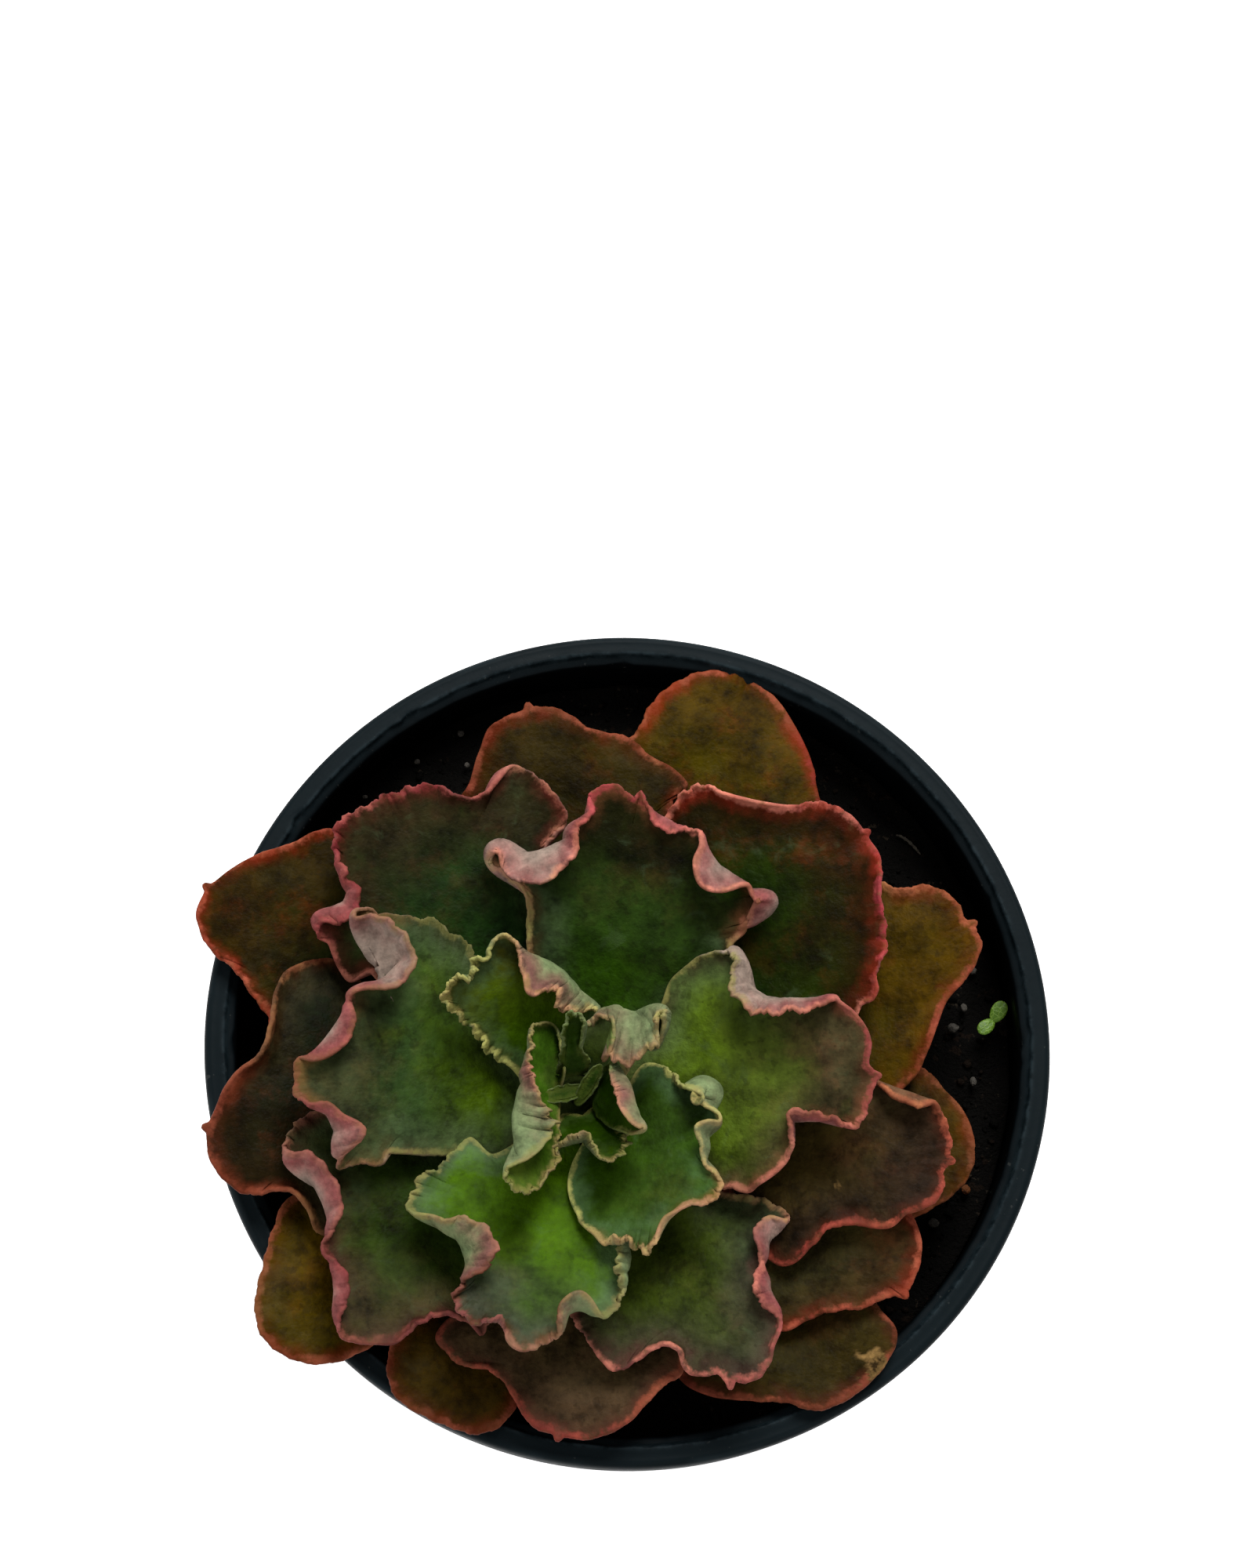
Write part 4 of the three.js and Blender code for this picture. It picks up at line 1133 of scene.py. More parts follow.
LEAVES = (
    LeafShape("leaf_outer_01", az=67, node=-9, rise=0.1, hub=52, side=0, edge=(
        (3, 35.5), (14, 35), (25, 32), (34, 28.5), (46, 23.5), (128, 23), (164, 29), (175, 43), (185, 43),
        (194, 29), (219, 20.5), (314, 27), (326, 29), (340, 31.5), (353, 34.5),
    ), blush=((0, 0.6), (30, 0.55), (320, 1), (350, 0.6)), tip=3),
    LeafShape("leaf_outer_02", az=95, node=-5.9, rise=0.12, hub=42, side=2, edge=(
        (4, 31.5), (14, 29.5, 1), (21, 26, 1), (36, 21.5), (128, 18), (167, 22.5), (177, 34), (190, 34.5),
        (202, 24), (233, 20), (295, 27.5), (298, 32), (305, 32), (314, 30.5), (323, 31), (337, 29.5),
        (346, 31.5), (353, 32.5), (359, 32),
    ), blush=((0, 0.6), (40, 0.7), (90, 0.6), (300, 0.45), (330, 0.7)), tip=-1),
    LeafShape("leaf_outer_03", az=155, node=-8.6, rise=0.175, hub=45, side=0, edge=(
        (5, 25.5), (11, 20), (25, 16), (40, 14), (109, 21), (157, 25), (174, 36), (186, 36), (199, 24.5),
        (243, 15.5), (300, 31.5, 1), (305, 31.5, 1), (315, 30, 1), (329, 31), (341, 31.5), (350, 31.5),
        (356, 30.5),
    ), blush=((0, 0.5), (60, 0.45), (300, 0.55), (330, 0.5)), tip=-14),
    LeafShape("leaf_outer_04", az=190, node=-4.2, rise=0.19, hub=43, side=-3, edge=(
        (4, 21.5), (17, 20.5), (30, 18.5), (39, 15.5, 1), (50, 13.5, 2), (65, 15, 1), (74, 18.5),
        (154, 25.5), (169, 35.5), (182, 35), (190, 23.5), (220, 17), (259, 30.5), (268, 30.5, 1),
        (277, 29, 2), (283, 26, 2), (292, 20.5, 3), (305, 17.5, 3), (324, 19, 2), (342, 20, 1), (351, 21),
    ), blush=((0, 0.6), (30, 0.5), (60, 0.35), (100, 0.5), (280, 0.3), (310, 0.4), (340, 0.75)), tip=-9),
    LeafShape("leaf_outer_05", az=222, node=-9.2, rise=0.215, hub=46, side=1, edge=(
        (5, 18.5), (21, 14.5), (34, 11.5, 1), (51, 9.5, 1), (122, 9), (162, 22), (175, 37), (187, 37.5),
        (193, 26), (217, 14), (275, 22.5, 1), (290, 21.5, 1), (309, 21), (325, 22), (338, 22.5),
        (349, 21.5),
    ), blush=((0, 0.5), (60, 0.6), (270, 0.7), (320, 0.4))),
    LeafShape("leaf_outer_06", az=250, node=-7.4, rise=0.2, hub=44, side=0, edge=(
        (8, 16), (23, 15), (39, 12.5), (54, 10.5), (142, 16), (169, 26.5), (174, 35), (186, 35),
        (192, 24.5), (222, 8), (293, 17, 1), (310, 18.5), (322, 18.5), (338, 17), (356, 16),
    ), blush=((0, 0.8), (40, 0.75), (300, 0.7), (340, 0.6))),
    LeafShape("leaf_outer_07", az=270, node=-2.9, rise=0.19, hub=44, side=0, edge=(
        (1, 14.5), (20, 14.5), (35, 14.5), (54, 14.5, 1), (71, 16, 1), (77, 18, 1), (135, 20), (167, 26.5),
        (174, 36), (186, 36), (191, 26.5), (221, 15), (261, 24.5, 1), (269, 22.5, 1), (276, 19.5, 1),
        (279, 16, 1), (291, 13.5), (310, 13.5), (328, 14.5), (347, 14),
    ), blush=((0, 0.85), (50, 0.6), (90, 0.5), (270, 0.7), (320, 0.9)), tip=-14),
    LeafShape("leaf_outer_08", az=314, node=-9.4, rise=0.175, hub=50, side=-2, edge=(
        (9, 20.5), (25, 22), (38, 22.5), (52, 19), (105, 14), (145, 18), (166, 29), (173, 41.5), (182, 41),
        (187, 31), (217, 20), (263, 18.5), (278, 17), (299, 15), (325, 15), (341, 18), (351, 19),
    ), blush=((0, 0.6), (40, 0.5), (90, 0.5), (300, 0.75), (330, 0.6)),
        scars=((41.5, -60.5, 2.9), (42, -57.8, 1.6), (30.8, -59.4, 0.35),)),
    LeafShape("leaf_outer_09", az=330, node=-5.5, rise=0.18, hub=44, side=-2, edge=(
        (2, 22), (12, 23), (26, 23), (36, 22), (71, 18), (122, 15.5), (164, 25), (171, 36.5), (182, 36),
        (189, 24.5), (217, 15), (295, 16.5), (310, 15), (327, 15), (348, 18.5), (359, 20.5),
    ), blush=((0, 0.6), (20, 0.55), (60, 0.5), (300, 0.8), (340, 0.85)), tip=2),
    LeafShape("leaf_outer_10", az=349, node=-1.9, rise=0.19, hub=46, side=-3, edge=(
        (7, 19.5), (18, 21), (27, 21, 1), (39, 20.5, 3), (45, 19, 5), (57, 17, 5), (73, 16, 3), (130, 15.5),
        (161, 27.5), (170, 38.5), (182, 38), (187, 26), (209, 18.5), (251, 20), (258, 19, 1), (266, 15, 1),
        (278, 11.5, 1), (302, 12), (319, 15, 1), (333, 15.5, 1), (337, 16.5, 1), (352, 19.5),
    ), blush=((0, 0.8), (20, 0.75), (45, 0.4), (70, 0.35), (270, 0.7), (330, 0.8)), tip=11,
        scars=((35.3, -28.9, 0.5),)),
    LeafShape("leaf_outer_11", az=350, node=-9.2, rise=0.13, hub=50, side=0, edge=(
        (2, 21.5), (17, 22), (31, 21.5), (44, 20.5), (60, 20.5), (130, 12), (168, 28.5), (175, 41),
        (185, 41), (190, 27.5), (223, 12), (320, 15.5), (335, 17), (349, 19.5),
    ), blush=((0, 0.35), (40, 0.4), (320, 0.4))),
    LeafShape("leaf_outer_12", az=21, node=-6.2, rise=0.15, hub=50, side=-2, edge=(
        (1, 27.5), (6, 29), (15, 28.5), (22, 29.5), (33, 28.5), (42, 25, 1), (49, 25, 1), (124, 18),
        (159, 28), (172, 41.5), (183, 41), (193, 26.5), (236, 18), (287, 17.5), (300, 17.5), (314, 17, 1),
        (331, 17.5, 1), (345, 19.5), (354, 24),
    ), blush=((0, 0.8), (20, 0.6), (45, 0.35), (100, 0.4), (300, 0.55), (340, 0.85)), tip=12),
    LeafShape("leaf_middle_01", az=124, node=-1.5, rise=0.2, hub=38, side=0, edge=(
        (37, 21.2, 3, 0.4), (41.5, 19.6, 4, 1.6), (48, 20, 5, 3), (52.5, 22.4, 5, 3.4),
        (54.5, 24.8, 4, 2.4), (58.5, 25.4, 3, 1), (62.5, 24.6, 1.5, 0.2), (66, 22.8, 1), (71, 22.4, 0.5),
        (78.5, 22), (85, 21.2), (88, 17.2), (139, 18.5), (172, 30.5), (188, 30.5), (221, 18.5), (275, 21),
        (279, 27.5, 2), (288, 29.5, 2), (299, 30.5, 2), (307, 30.5, 2, 0.3), (310, 28.5, 3, 0.8),
        (313, 24, 2), (320, 22.5, 1), (327, 23, 2), (334, 25, 1), (344, 25.5, 1), (356, 25.5), (9, 26.5, 1),
        (17, 27, 2), (27, 24.5, 3), (36, 21.5, 4),
    ), blush=((0, 0.8), (30, 0.85), (50, 0.95), (75, 0.85), (100, 0.45), (275, 0.25), (290, 0.3),
        (305, 0.4), (315, 0.7), (340, 0.9)), tip=-4),
    LeafShape("leaf_middle_02", az=74, node=0.1, rise=0.31, hub=30, side=3, edge=(
        (40.5, 16.8, 5, 2.6), (51.5, 17, 6, 5.2), (60.5, 18.4, 7, 6.4), (66.5, 21, 6, 5), (67, 23, 5, 4),
        (67.5, 24.6, 4, 3), (71, 25.4, 4, 2), (76, 24.8, 3, 1), (78, 23.6, 2, 0.3), (77.5, 21, 1.5, 0.2),
        (78.5, 18.4, 1), (81, 16.2, 0.5), (90, 14.4), (110, 14), (143, 15), (177, 22), (198, 23), (233, 20),
        (272, 23), (279, 22.8), (284, 24.8, 0.3), (287, 25.6, 1.5, 0.4), (290, 28.4, 4, 2.2),
        (293, 30.4, 5, 3), (295.5, 30, 6, 3.2), (298, 26.8, 5, 0.8), (301, 26, 5, 0.3), (307, 24, 6, 4),
        (312, 22.6, 7, 5.2), (319, 22.2, 6, 3.5), (324, 22.6, 4, 1), (329, 23.6, 3, 0.4),
        (333, 23.4, 2, 0.3), (339, 22.4, 2, 1.2), (344, 21.6, 2.5, 1.8), (350, 22, 2, 1.5),
        (355, 22.6, 1.5, 0.4), (1, 24.4, 1), (3, 23, 1), (12, 25, 1), (18, 24.5, 1), (23, 23.4, 1),
        (25, 20.8, 1.5, 0.9), (30, 19.8, 2, 1.2), (37, 18.6, 3, 1.5),
    ), blush=((0, 0.85), (20, 0.9), (35, 0.6), (50, 0.4), (75, 0.2), (240, 0.1), (280, 0.15), (292, 0.5),
        (305, 0.5), (325, 0.55), (340, 0.7))),
    LeafShape("leaf_middle_03", az=42, node=-2, rise=0.21, hub=42, side=0, edge=(
        (0, 28), (5, 28.5, 1), (12, 28.5, 1), (21, 27.5, 1), (30, 25, 1), (43, 24.5, 2), (56, 26, 3),
        (64, 29, 3), (72, 29, 3), (79, 27.5, 2), (111, 22.5), (156, 24), (173, 34), (187, 34), (207, 24.5),
        (252, 25.5), (285, 23, 1), (292, 24.5, 2), (301, 23, 2), (311, 24, 1), (321, 24, 1), (334, 24, 2),
        (344, 26, 2), (351, 27.5, 1),
    ), blush=((0, 0.95), (30, 0.75), (50, 0.6), (70, 0.55), (100, 0.4), (280, 0.7), (300, 0.85),
        (330, 1)), tip=0),
    LeafShape("leaf_middle_04", az=176, node=2.2, rise=0.33, hub=28, side=0, edge=(
        (287, 30, 1), (288.5, 31.2, 2, 0.2), (292, 31.6, 3, 0.3), (295.5, 30.8, 4, 0.3),
        (296.5, 29.2, 5, 0.6), (293.5, 28.2, 6, 1.4), (290.5, 25.8, 8, 2.6), (288.5, 23.4, 8, 3.6),
        (287.5, 21.2, 8, 4.2), (289.5, 19, 7, 3.6), (296.5, 18, 6, 2.2), (304, 18.6, 5, 1.2),
        (311.5, 18.8, 4, 0.6), (315, 18.4, 2, 0.6), (321, 16.8, 4, 1.6), (329, 16.2, 5, 2.8),
        (339, 16.4, 5, 3.1), (348, 17.4, 4, 2.2), (353, 18.6, 3, 1), (354, 20.2, 1), (358, 20.8, 1),
        (2, 20.8), (5, 20.4), (9, 21, 0.5), (13, 20.6, 1), (19, 19.4, 2, 0.2), (22, 17.8, 2.5, 0.4),
        (26, 16.4, 3, 1), (34, 16.2, 4, 1.6), (41, 16.6, 5, 3.6), (46, 18.2, 6, 4.4), (53.5, 20.2, 0.5),
        (58, 18.6, 0.5), (60.5, 17.4, 0.5), (68, 16.4, 0.5), (73.5, 15.6, 0.5), (74.5, 13.6, 0.3),
        (80, 13, 0.3), (94, 12.6, 0.3), (106, 13, 0.3), (120.5, 13.6), (132.5, 15.2), (139, 17.6),
        (143, 20.6), (144, 20.2), (169, 20.5), (191, 20.5), (221, 18.5), (254, 26.8, 0.3), (257, 27.8, 0.6),
        (260, 27.6, 0.3), (263, 28, 0.6), (266, 29.2, 0.6), (270, 29.8, 0.4), (273, 29, 0.4),
        (277, 29.6, 0.6), (281, 29.8, 0.6), (285, 30, 1),
    ), blush=((0, 0.9), (20, 0.7), (40, 0.45), (60, 0.3), (80, 0.15), (130, 0.05), (250, 0), (268, 0.1),
        (282, 0.35), (292, 0.45), (305, 0.65), (330, 0.8))),
    LeafShape("leaf_middle_05", az=218, node=-1, rise=0.225, hub=37, side=3, edge=(
        (263.5, 27, 1), (271.5, 29.6, 1, 0.2), (278, 29.8, 1.5, 0.2), (285, 29, 2, 0.2),
        (289.5, 28, 3, 0.5), (291, 26.8, 4, 1.4), (290.5, 24, 5, 2.3), (293.5, 20.6, 5, 2.6),
        (299.5, 17.6, 5, 2.6), (308.5, 15.8, 4, 1.7), (319.5, 16, 2, 0.5), (327.5, 16.8, 1.5, 0.1),
        (336.5, 15.6, 2, 0.6), (346.5, 15.6, 4, 1.8), (357, 17, 4, 1.8), (4.5, 19.2, 3, 1),
        (10.5, 20.8, 2, 0.3), (17, 20.8, 1), (31, 19, 1), (40, 18, 1), (53, 14.5, 2), (70, 13.5, 2),
        (83, 16, 2), (87, 19), (92, 18.5, 1), (155, 16.5), (178, 29), (194, 30), (225, 21), (261, 25, 1),
    ), blush=((0, 0.85), (30, 0.75), (60, 0.7), (90, 0.5), (265, 0.25), (280, 0.3), (295, 0.6), (320, 0.75),
        (335, 0.95))),
    LeafShape("leaf_middle_06", az=2, node=3.9, rise=0.33, hub=30, side=0, edge=(
        (3, 20, 1), (16, 21.5, 1), (30, 21, 2), (38, 20.2, 3, 0), (41.7, 20.4, 4, 0.6), (48, 17.8, 6, 1.6),
        (58, 15.8, 7, 3.1), (64, 15, 7, 2.6), (70, 14.6, 7.5, 3.6), (78, 14.8, 8, 4), (84, 16, 8, 4),
        (87.6, 17.8, 7, 3.6), (89.5, 21.5, 6, 1.8), (93, 24.2, 4, 1.4), (97, 24, 3, 0.3), (107, 24.5, 2),
        (115, 24, 1), (122, 23.5), (131, 21.5), (148, 19), (170, 22.5), (190, 22.5), (225, 20),
        (256, 18.5, 1), (266, 19, 1), (271, 18, 2), (289, 15.5, 1), (297, 14, 2), (313, 10, 4),
        (327, 14.5, 3), (330, 19.5, 2), (346, 20.5, 1), (358, 21),
    ), blush=((0, 0.9), (20, 0.95), (35, 0.7), (50, 0.45), (75, 0.35), (95, 0.1), (130, 0), (230, 0.2),
        (260, 0.55), (280, 0.6), (300, 0.45), (325, 0.6), (345, 0.85)), tip=-2),
    LeafShape("leaf_middle_07", az=298, node=0, rise=0.24, hub=38, side=3, edge=(
        (349.5, 18.2, 1), (355.5, 19.4, 1), (3, 19.6, 1), (13, 18.6, 1, 0.2), (19.5, 17.4, 1.5, 0.3),
        (27, 16.8, 2, 0.3), (35, 16, 2, 0.4), (39.5, 14.6, 3, 1.2), (48.5, 12.6, 4, 2.2), (60, 12, 4, 2.3),
        (73, 11.6, 2, 0.3), (80.5, 12.6, 3, 1), (91.5, 14.6, 4, 2.5), (95.5, 17.2, 3, 1.6),
        (94, 18.8, 2, 0.4), (96, 19.8, 1), (106, 19, 1), (111, 18.6, 1), (133, 16.4), (142, 18), (178, 30),
        (193, 31), (227, 20.5), (255, 22.5, 1), (268, 21.5, 1), (280, 21.5, 1), (289, 21, 1),
        (301, 13.5, 2), (315, 13, 2), (321, 15.5, 1), (330, 16.5), (342, 16.5), (348, 18.4, 1),
    ), blush=((0, 0.9), (30, 0.85), (50, 0.7), (75, 0.5), (95, 0.2), (110, 0.2), (260, 0.45), (285, 0.75),
        (330, 0.85)), tip=-12),
    LeafShape("leaf_inner_01", az=253, node=4.8, rise=0.36, hub=26, side=2, edge=(
        (1, 20, 1), (6, 20.2, 1), (12, 19.4, 1), (18, 18.2, 1), (23, 17.8, 1), (26, 16.8, 3, 0.4),
        (30, 14.4, 4, 1.2), (36, 13.8, 5, 1.8), (42, 14, 5, 2.2), (46, 14.8, 4, 1.6), (51, 17.2, 2),
        (56, 17.4, 1.5), (63, 17.2, 1.5), (70, 16.8, 2, 0.4), (75, 16.2, 3, 0.8), (81, 15.2, 4, 1.4),
        (89, 15, 5, 1.8), (129, 13), (174, 18), (198, 19), (227, 17.5), (232, 22.4), (239, 22.2),
        (245, 22.2), (253, 22, 0.3), (256, 22.8, 0.5), (258, 24, 0.5), (262, 24.2, 0.5), (266, 23.6, 1),
        (269, 24, 2), (273, 24.2, 2), (277, 23.6, 2, 0.2), (280, 19.6, 3, 0.8), (283, 17.8, 4, 1.2),
        (285, 16, 5, 2.6), (291, 14.6, 6, 4.2), (300, 14, 7, 4.8), (308, 14.2, 6, 3.6), (313, 15.2, 4, 1.4),
        (317, 16.6, 2), (320, 18.2, 1), (322, 19, 0.5), (327, 19.4, 0.5), (333, 19.6, 1), (338, 19.4, 1),
        (342, 18.8, 1.5), (345, 17.6, 3), (349, 17, 3, 0.4), (354, 17.8, 1), (357, 19.2, 1),
    ), blush=((0, 0.7), (20, 0.6), (30, 0.3), (45, 0.2), (80, 0.12), (130, 0), (225, 0.05), (255, 0.1),
        (275, 0.3), (290, 0.35), (305, 0.65), (325, 0.9), (345, 0.95))),
    LeafShape("leaf_inner_02", az=322, node=7.9, rise=0.45, hub=18, side=2, edge=(
        (6, 7.6, 2, 0.5), (25, 7, 3, 1.2), (43, 6.8, 5, 2.2), (51, 8, 5, 1.2), (54, 9.4, 3, 0.2),
        (64, 9.8, 3, 0.2), (74, 9.8, 4, 2), (82, 12.8, 6, 4.5), (92, 13.2, 7, 5.5), (99, 12.8, 7, 4.2),
        (106, 11.2, 5, 1.8), (112, 10.2, 3, 0.3), (123, 13, 0.5), (132, 14.6), (142, 15.2), (162, 12.5),
        (188, 14), (210, 14), (238, 18.2, 1), (247, 19.2, 1), (255, 19.8, 1), (261, 20.4, 1),
        (269, 20.6, 1.5), (276, 21.2, 2), (279, 20.4, 3, 0.8), (286, 19.2, 2), (291, 19.6, 1), (296, 20, 1),
        (299, 18.8, 2), (305, 14.6, 2, 0.5), (314, 12.8, 1.5), (324, 12.2, 1), (338, 13.2, 1), (346, 13, 1),
        (355, 12.2, 1), (360, 11, 1.5, 0.2),
    ), blush=((0, 0.2), (40, 0.15), (90, 0.1), (130, 0), (230, 0), (260, 0.2), (290, 0.3), (310, 0.5),
        (335, 0.4))),
    LeafShape("leaf_inner_03", az=116, node=7, rise=0.48, hub=18, side=0, edge=(
        (4, 11, 3), (11, 11, 3, 0.2), (19, 10.4, 3, 0.3), (28, 9.8, 3, 0.2), (35, 11, 3),
        (41, 11.4, 3, 0.2), (49, 10.8, 4, 0.6), (53, 12.4, 4, 0.4), (55, 13.8, 3), (62, 14.6, 3),
        (67, 15.6, 2), (73, 14.8, 2), (78, 13.6, 1), (86, 12.6, 1), (97, 11.6, 0.5), (111, 11.8, 0.5),
        (124, 12, 0.5), (137, 12.2, 0.5), (155, 14.5), (180, 13.2), (201, 14), (234, 12.4, 4, 0.6),
        (238, 11.6, 4, 1.6), (247, 9.2, 7, 4.8), (256, 8.2, 7.5, 4.6), (266, 7.4, 8, 3.8), (278, 7, 8, 5.2),
        (290, 6.6, 8, 6.5), (304, 6.4, 8, 7), (318, 6.3, 8, 6.6), (330, 6.6, 6, 4.2), (340, 7, 5, 2.4),
        (347, 8, 3, 0.4), (352, 9.2, 3, 0.2), (356, 10.2, 3),
    ), blush=((0, 0.2), (30, 0.15), (80, 0.2), (120, 0.1), (230, 0.15), (245, 0.3), (260, 0.45),
        (290, 0.65), (330, 0.7), (350, 0.35))),
    LeafShape("leaf_inner_04", az=58, node=8.8, rise=0.75, hub=12, side=0, edge=(
        (273, 8.4, 4, 0.3), (287.5, 8.8, 5, 0.4), (298, 9.2, 6, 0.8), (313, 9.2, 6.5, 1.6),
        (320, 8.2, 7, 3.4), (323.5, 6.8, 8, 5.2), (326, 5.2, 8.5, 7), (335.5, 3.8, 9, 8.2),
        (359, 3, 9, 8.6), (21.5, 3.2, 8.5, 8), (35.5, 3.2, 7.5, 5.4), (49.5, 3.2, 5.5, 2.8),
        (72, 3.6, 4.5, 1.5), (98.5, 4, 3, 0.5), (144, 8.5), (180, 8.5), (216, 8.5), (247, 6.4, 1),
        (270, 6.2, 2, 0.3),
    ), blush=((0, 0.3), (90, 0.3), (180, 0.1), (250, 0.2), (285, 0.2), (305, 0.15), (330, 0.3))),
    LeafShape("leaf_heart_01", az=192, node=11.6, rise=1, hub=7, side=0, edge=(
        (215, 7, 2), (228, 9, 3, 0.2), (244, 13.2, 3, 0.2), (254.5, 13, 3, 0.2), (265.5, 11.2, 3, 0.2),
        (269.5, 8.2, 4, 0.4), (285.5, 5.4, 5, 0.8), (302.5, 4.4, 6, 1.6), (327, 3, 7.5, 2),
        (18.5, 4.4, 8, 4.4), (44, 7.8, 8, 6.2), (54, 10.6, 7, 5), (56.5, 12.6, 5, 3), (56.5, 15, 3, 0.6),
        (57, 17, 2, 0.3), (63, 18.4, 1.5, 0.2), (68.5, 18.8, 1.5, 0.2), (75, 18, 1.5, 0.2),
        (80.5, 16.6, 1.5, 0.2), (83.5, 15, 1.5, 0.2), (89.5, 13.6, 1.5, 0.2), (97, 11.8, 1), (98, 10, 1),
        (127, 5), (180, 4), (210, 6.4, 6, 0),
    ), blush=((0, 0.3), (50, 0.15), (75, 0.15), (100, 0.1), (240, 0.1), (260, 0.1), (275, 0.3), (300, 0.6),
        (340, 0.5))),
    LeafShape("leaf_heart_02", az=352, node=10.5, rise=1.25, hub=5.5, side=0, edge=(
        (47, 3.2, 6, 2.4), (85, 4.6, 5, 1.2), (91, 5, 3), (111, 4.5), (180, 2.5), (249, 4.5), (288, 7.8, 1),
        (299, 9.6, 1.5), (311, 10.4, 3, 0.6), (317, 7.8, 5, 2), (330, 5.2, 6, 2.8), (359, 3.6, 6, 2.8),
    ), blush=((0, 0.45), (60, 0.2), (110, -0.8), (270, -0.8), (292, 0), (315, 0.3), (340, 0.6))),
    LeafShape("leaf_heart_03", az=283, node=8.3, rise=1, hub=5.5, side=0, edge=(
        (6, 9.4, 2), (14, 9.8, 2), (27, 9.6, 2), (45, 8.4, 2), (49, 7.4, 1), (122, 4.5), (180, 1),
        (238, 4.5), (295, 8.4, 1), (306, 7.2, 1.5, 0.3), (321, 5.2, 3, 0.9), (342, 4.4, 3, 1),
        (353, 6, 2.5, 0.6), (359, 7.6, 2, 0.2),
    ), blush=((0, 0.2), (40, 0.15), (120, 0.05), (300, 0.1))),
    LeafShape("leaf_heart_04", az=100, node=11.6, rise=1.4, hub=4.5, side=0, edge=(
        (0, 6, 2.5), (19, 3.8, 2.5), (37, 2.8, 2), (62, 2.2, 1), (113, 3), (180, 2), (247, 3),
        (300, 2.2, 1), (315, 2.4, 2.5), (326, 5.2, 3.5, 0.3), (342, 6.2, 3, 0.3),
    ), blush=((0, -0.6),)),
    LeafShape("leaf_bud_01", az=197, node=14.6, rise=0.5, hub=2, side=0.2, edge=(
        (0, 4.4, 0.4), (40, 2.2, 0.3), (90, 1.5, 0.3), (140, 2, 0.3), (180, 4.2), (220, 2, 0.3),
        (270, 1.5, 0.3), (320, 2.2, 0.3),
    ), blush=((0, -0.6),)),
    LeafShape("leaf_bud_02", az=55, node=15.4, rise=0.55, hub=1.3, side=-1.3, edge=(
        (0, 4, 0.4), (40, 2, 0.3), (90, 1.4, 0.3), (140, 1.9, 0.3), (180, 3.6), (220, 1.9, 0.3),
        (270, 1.4, 0.3), (320, 2, 0.3),
    ), blush=((0, -0.6),)),
)


AGE_FINISHES = {
    Age.OUTER: LeafFinish(
        edge_cream="#86613a", edge_pink="#954c37", edge_crimson="#7c2629", under="#5a4a34",
        under_blush="#6e3a2a", spot="#120a02", bloom="#403a24",
        band_width=3.2, flush=8.0, spots=0.6, film=0.35, depth=1.9,
    ),
    Age.MIDDLE: LeafFinish(
        edge_cream="#7a7440", edge_pink="#b06a58", edge_crimson="#8a2f38", under="#86766a",
        under_blush="#7a4240", spot="#0f0c04", bloom="#445438",
        band_width=3.6, flush=9.0, spots=0.45, film=0.4, depth=1.8,
    ),
    Age.INNER: LeafFinish(
        edge_cream="#9a9654", edge_pink="#b07860", edge_crimson="#8e3e48", under="#6a7852",
        under_blush="#704c44", spot="#182404", bloom="#486040",
        band_width=2.4, flush=5.0, spots=0.3, film=0.45, depth=1.5,
    ),
}
AGE_FINISHES[Age.HEART] = replace(
    AGE_FINISHES[Age.INNER], edge_cream="#7a7c40", bloom="#2c3e18", band_width=1.4, flush=2.4,
)
AGE_FINISHES[Age.BUD] = AGE_FINISHES[Age.HEART]

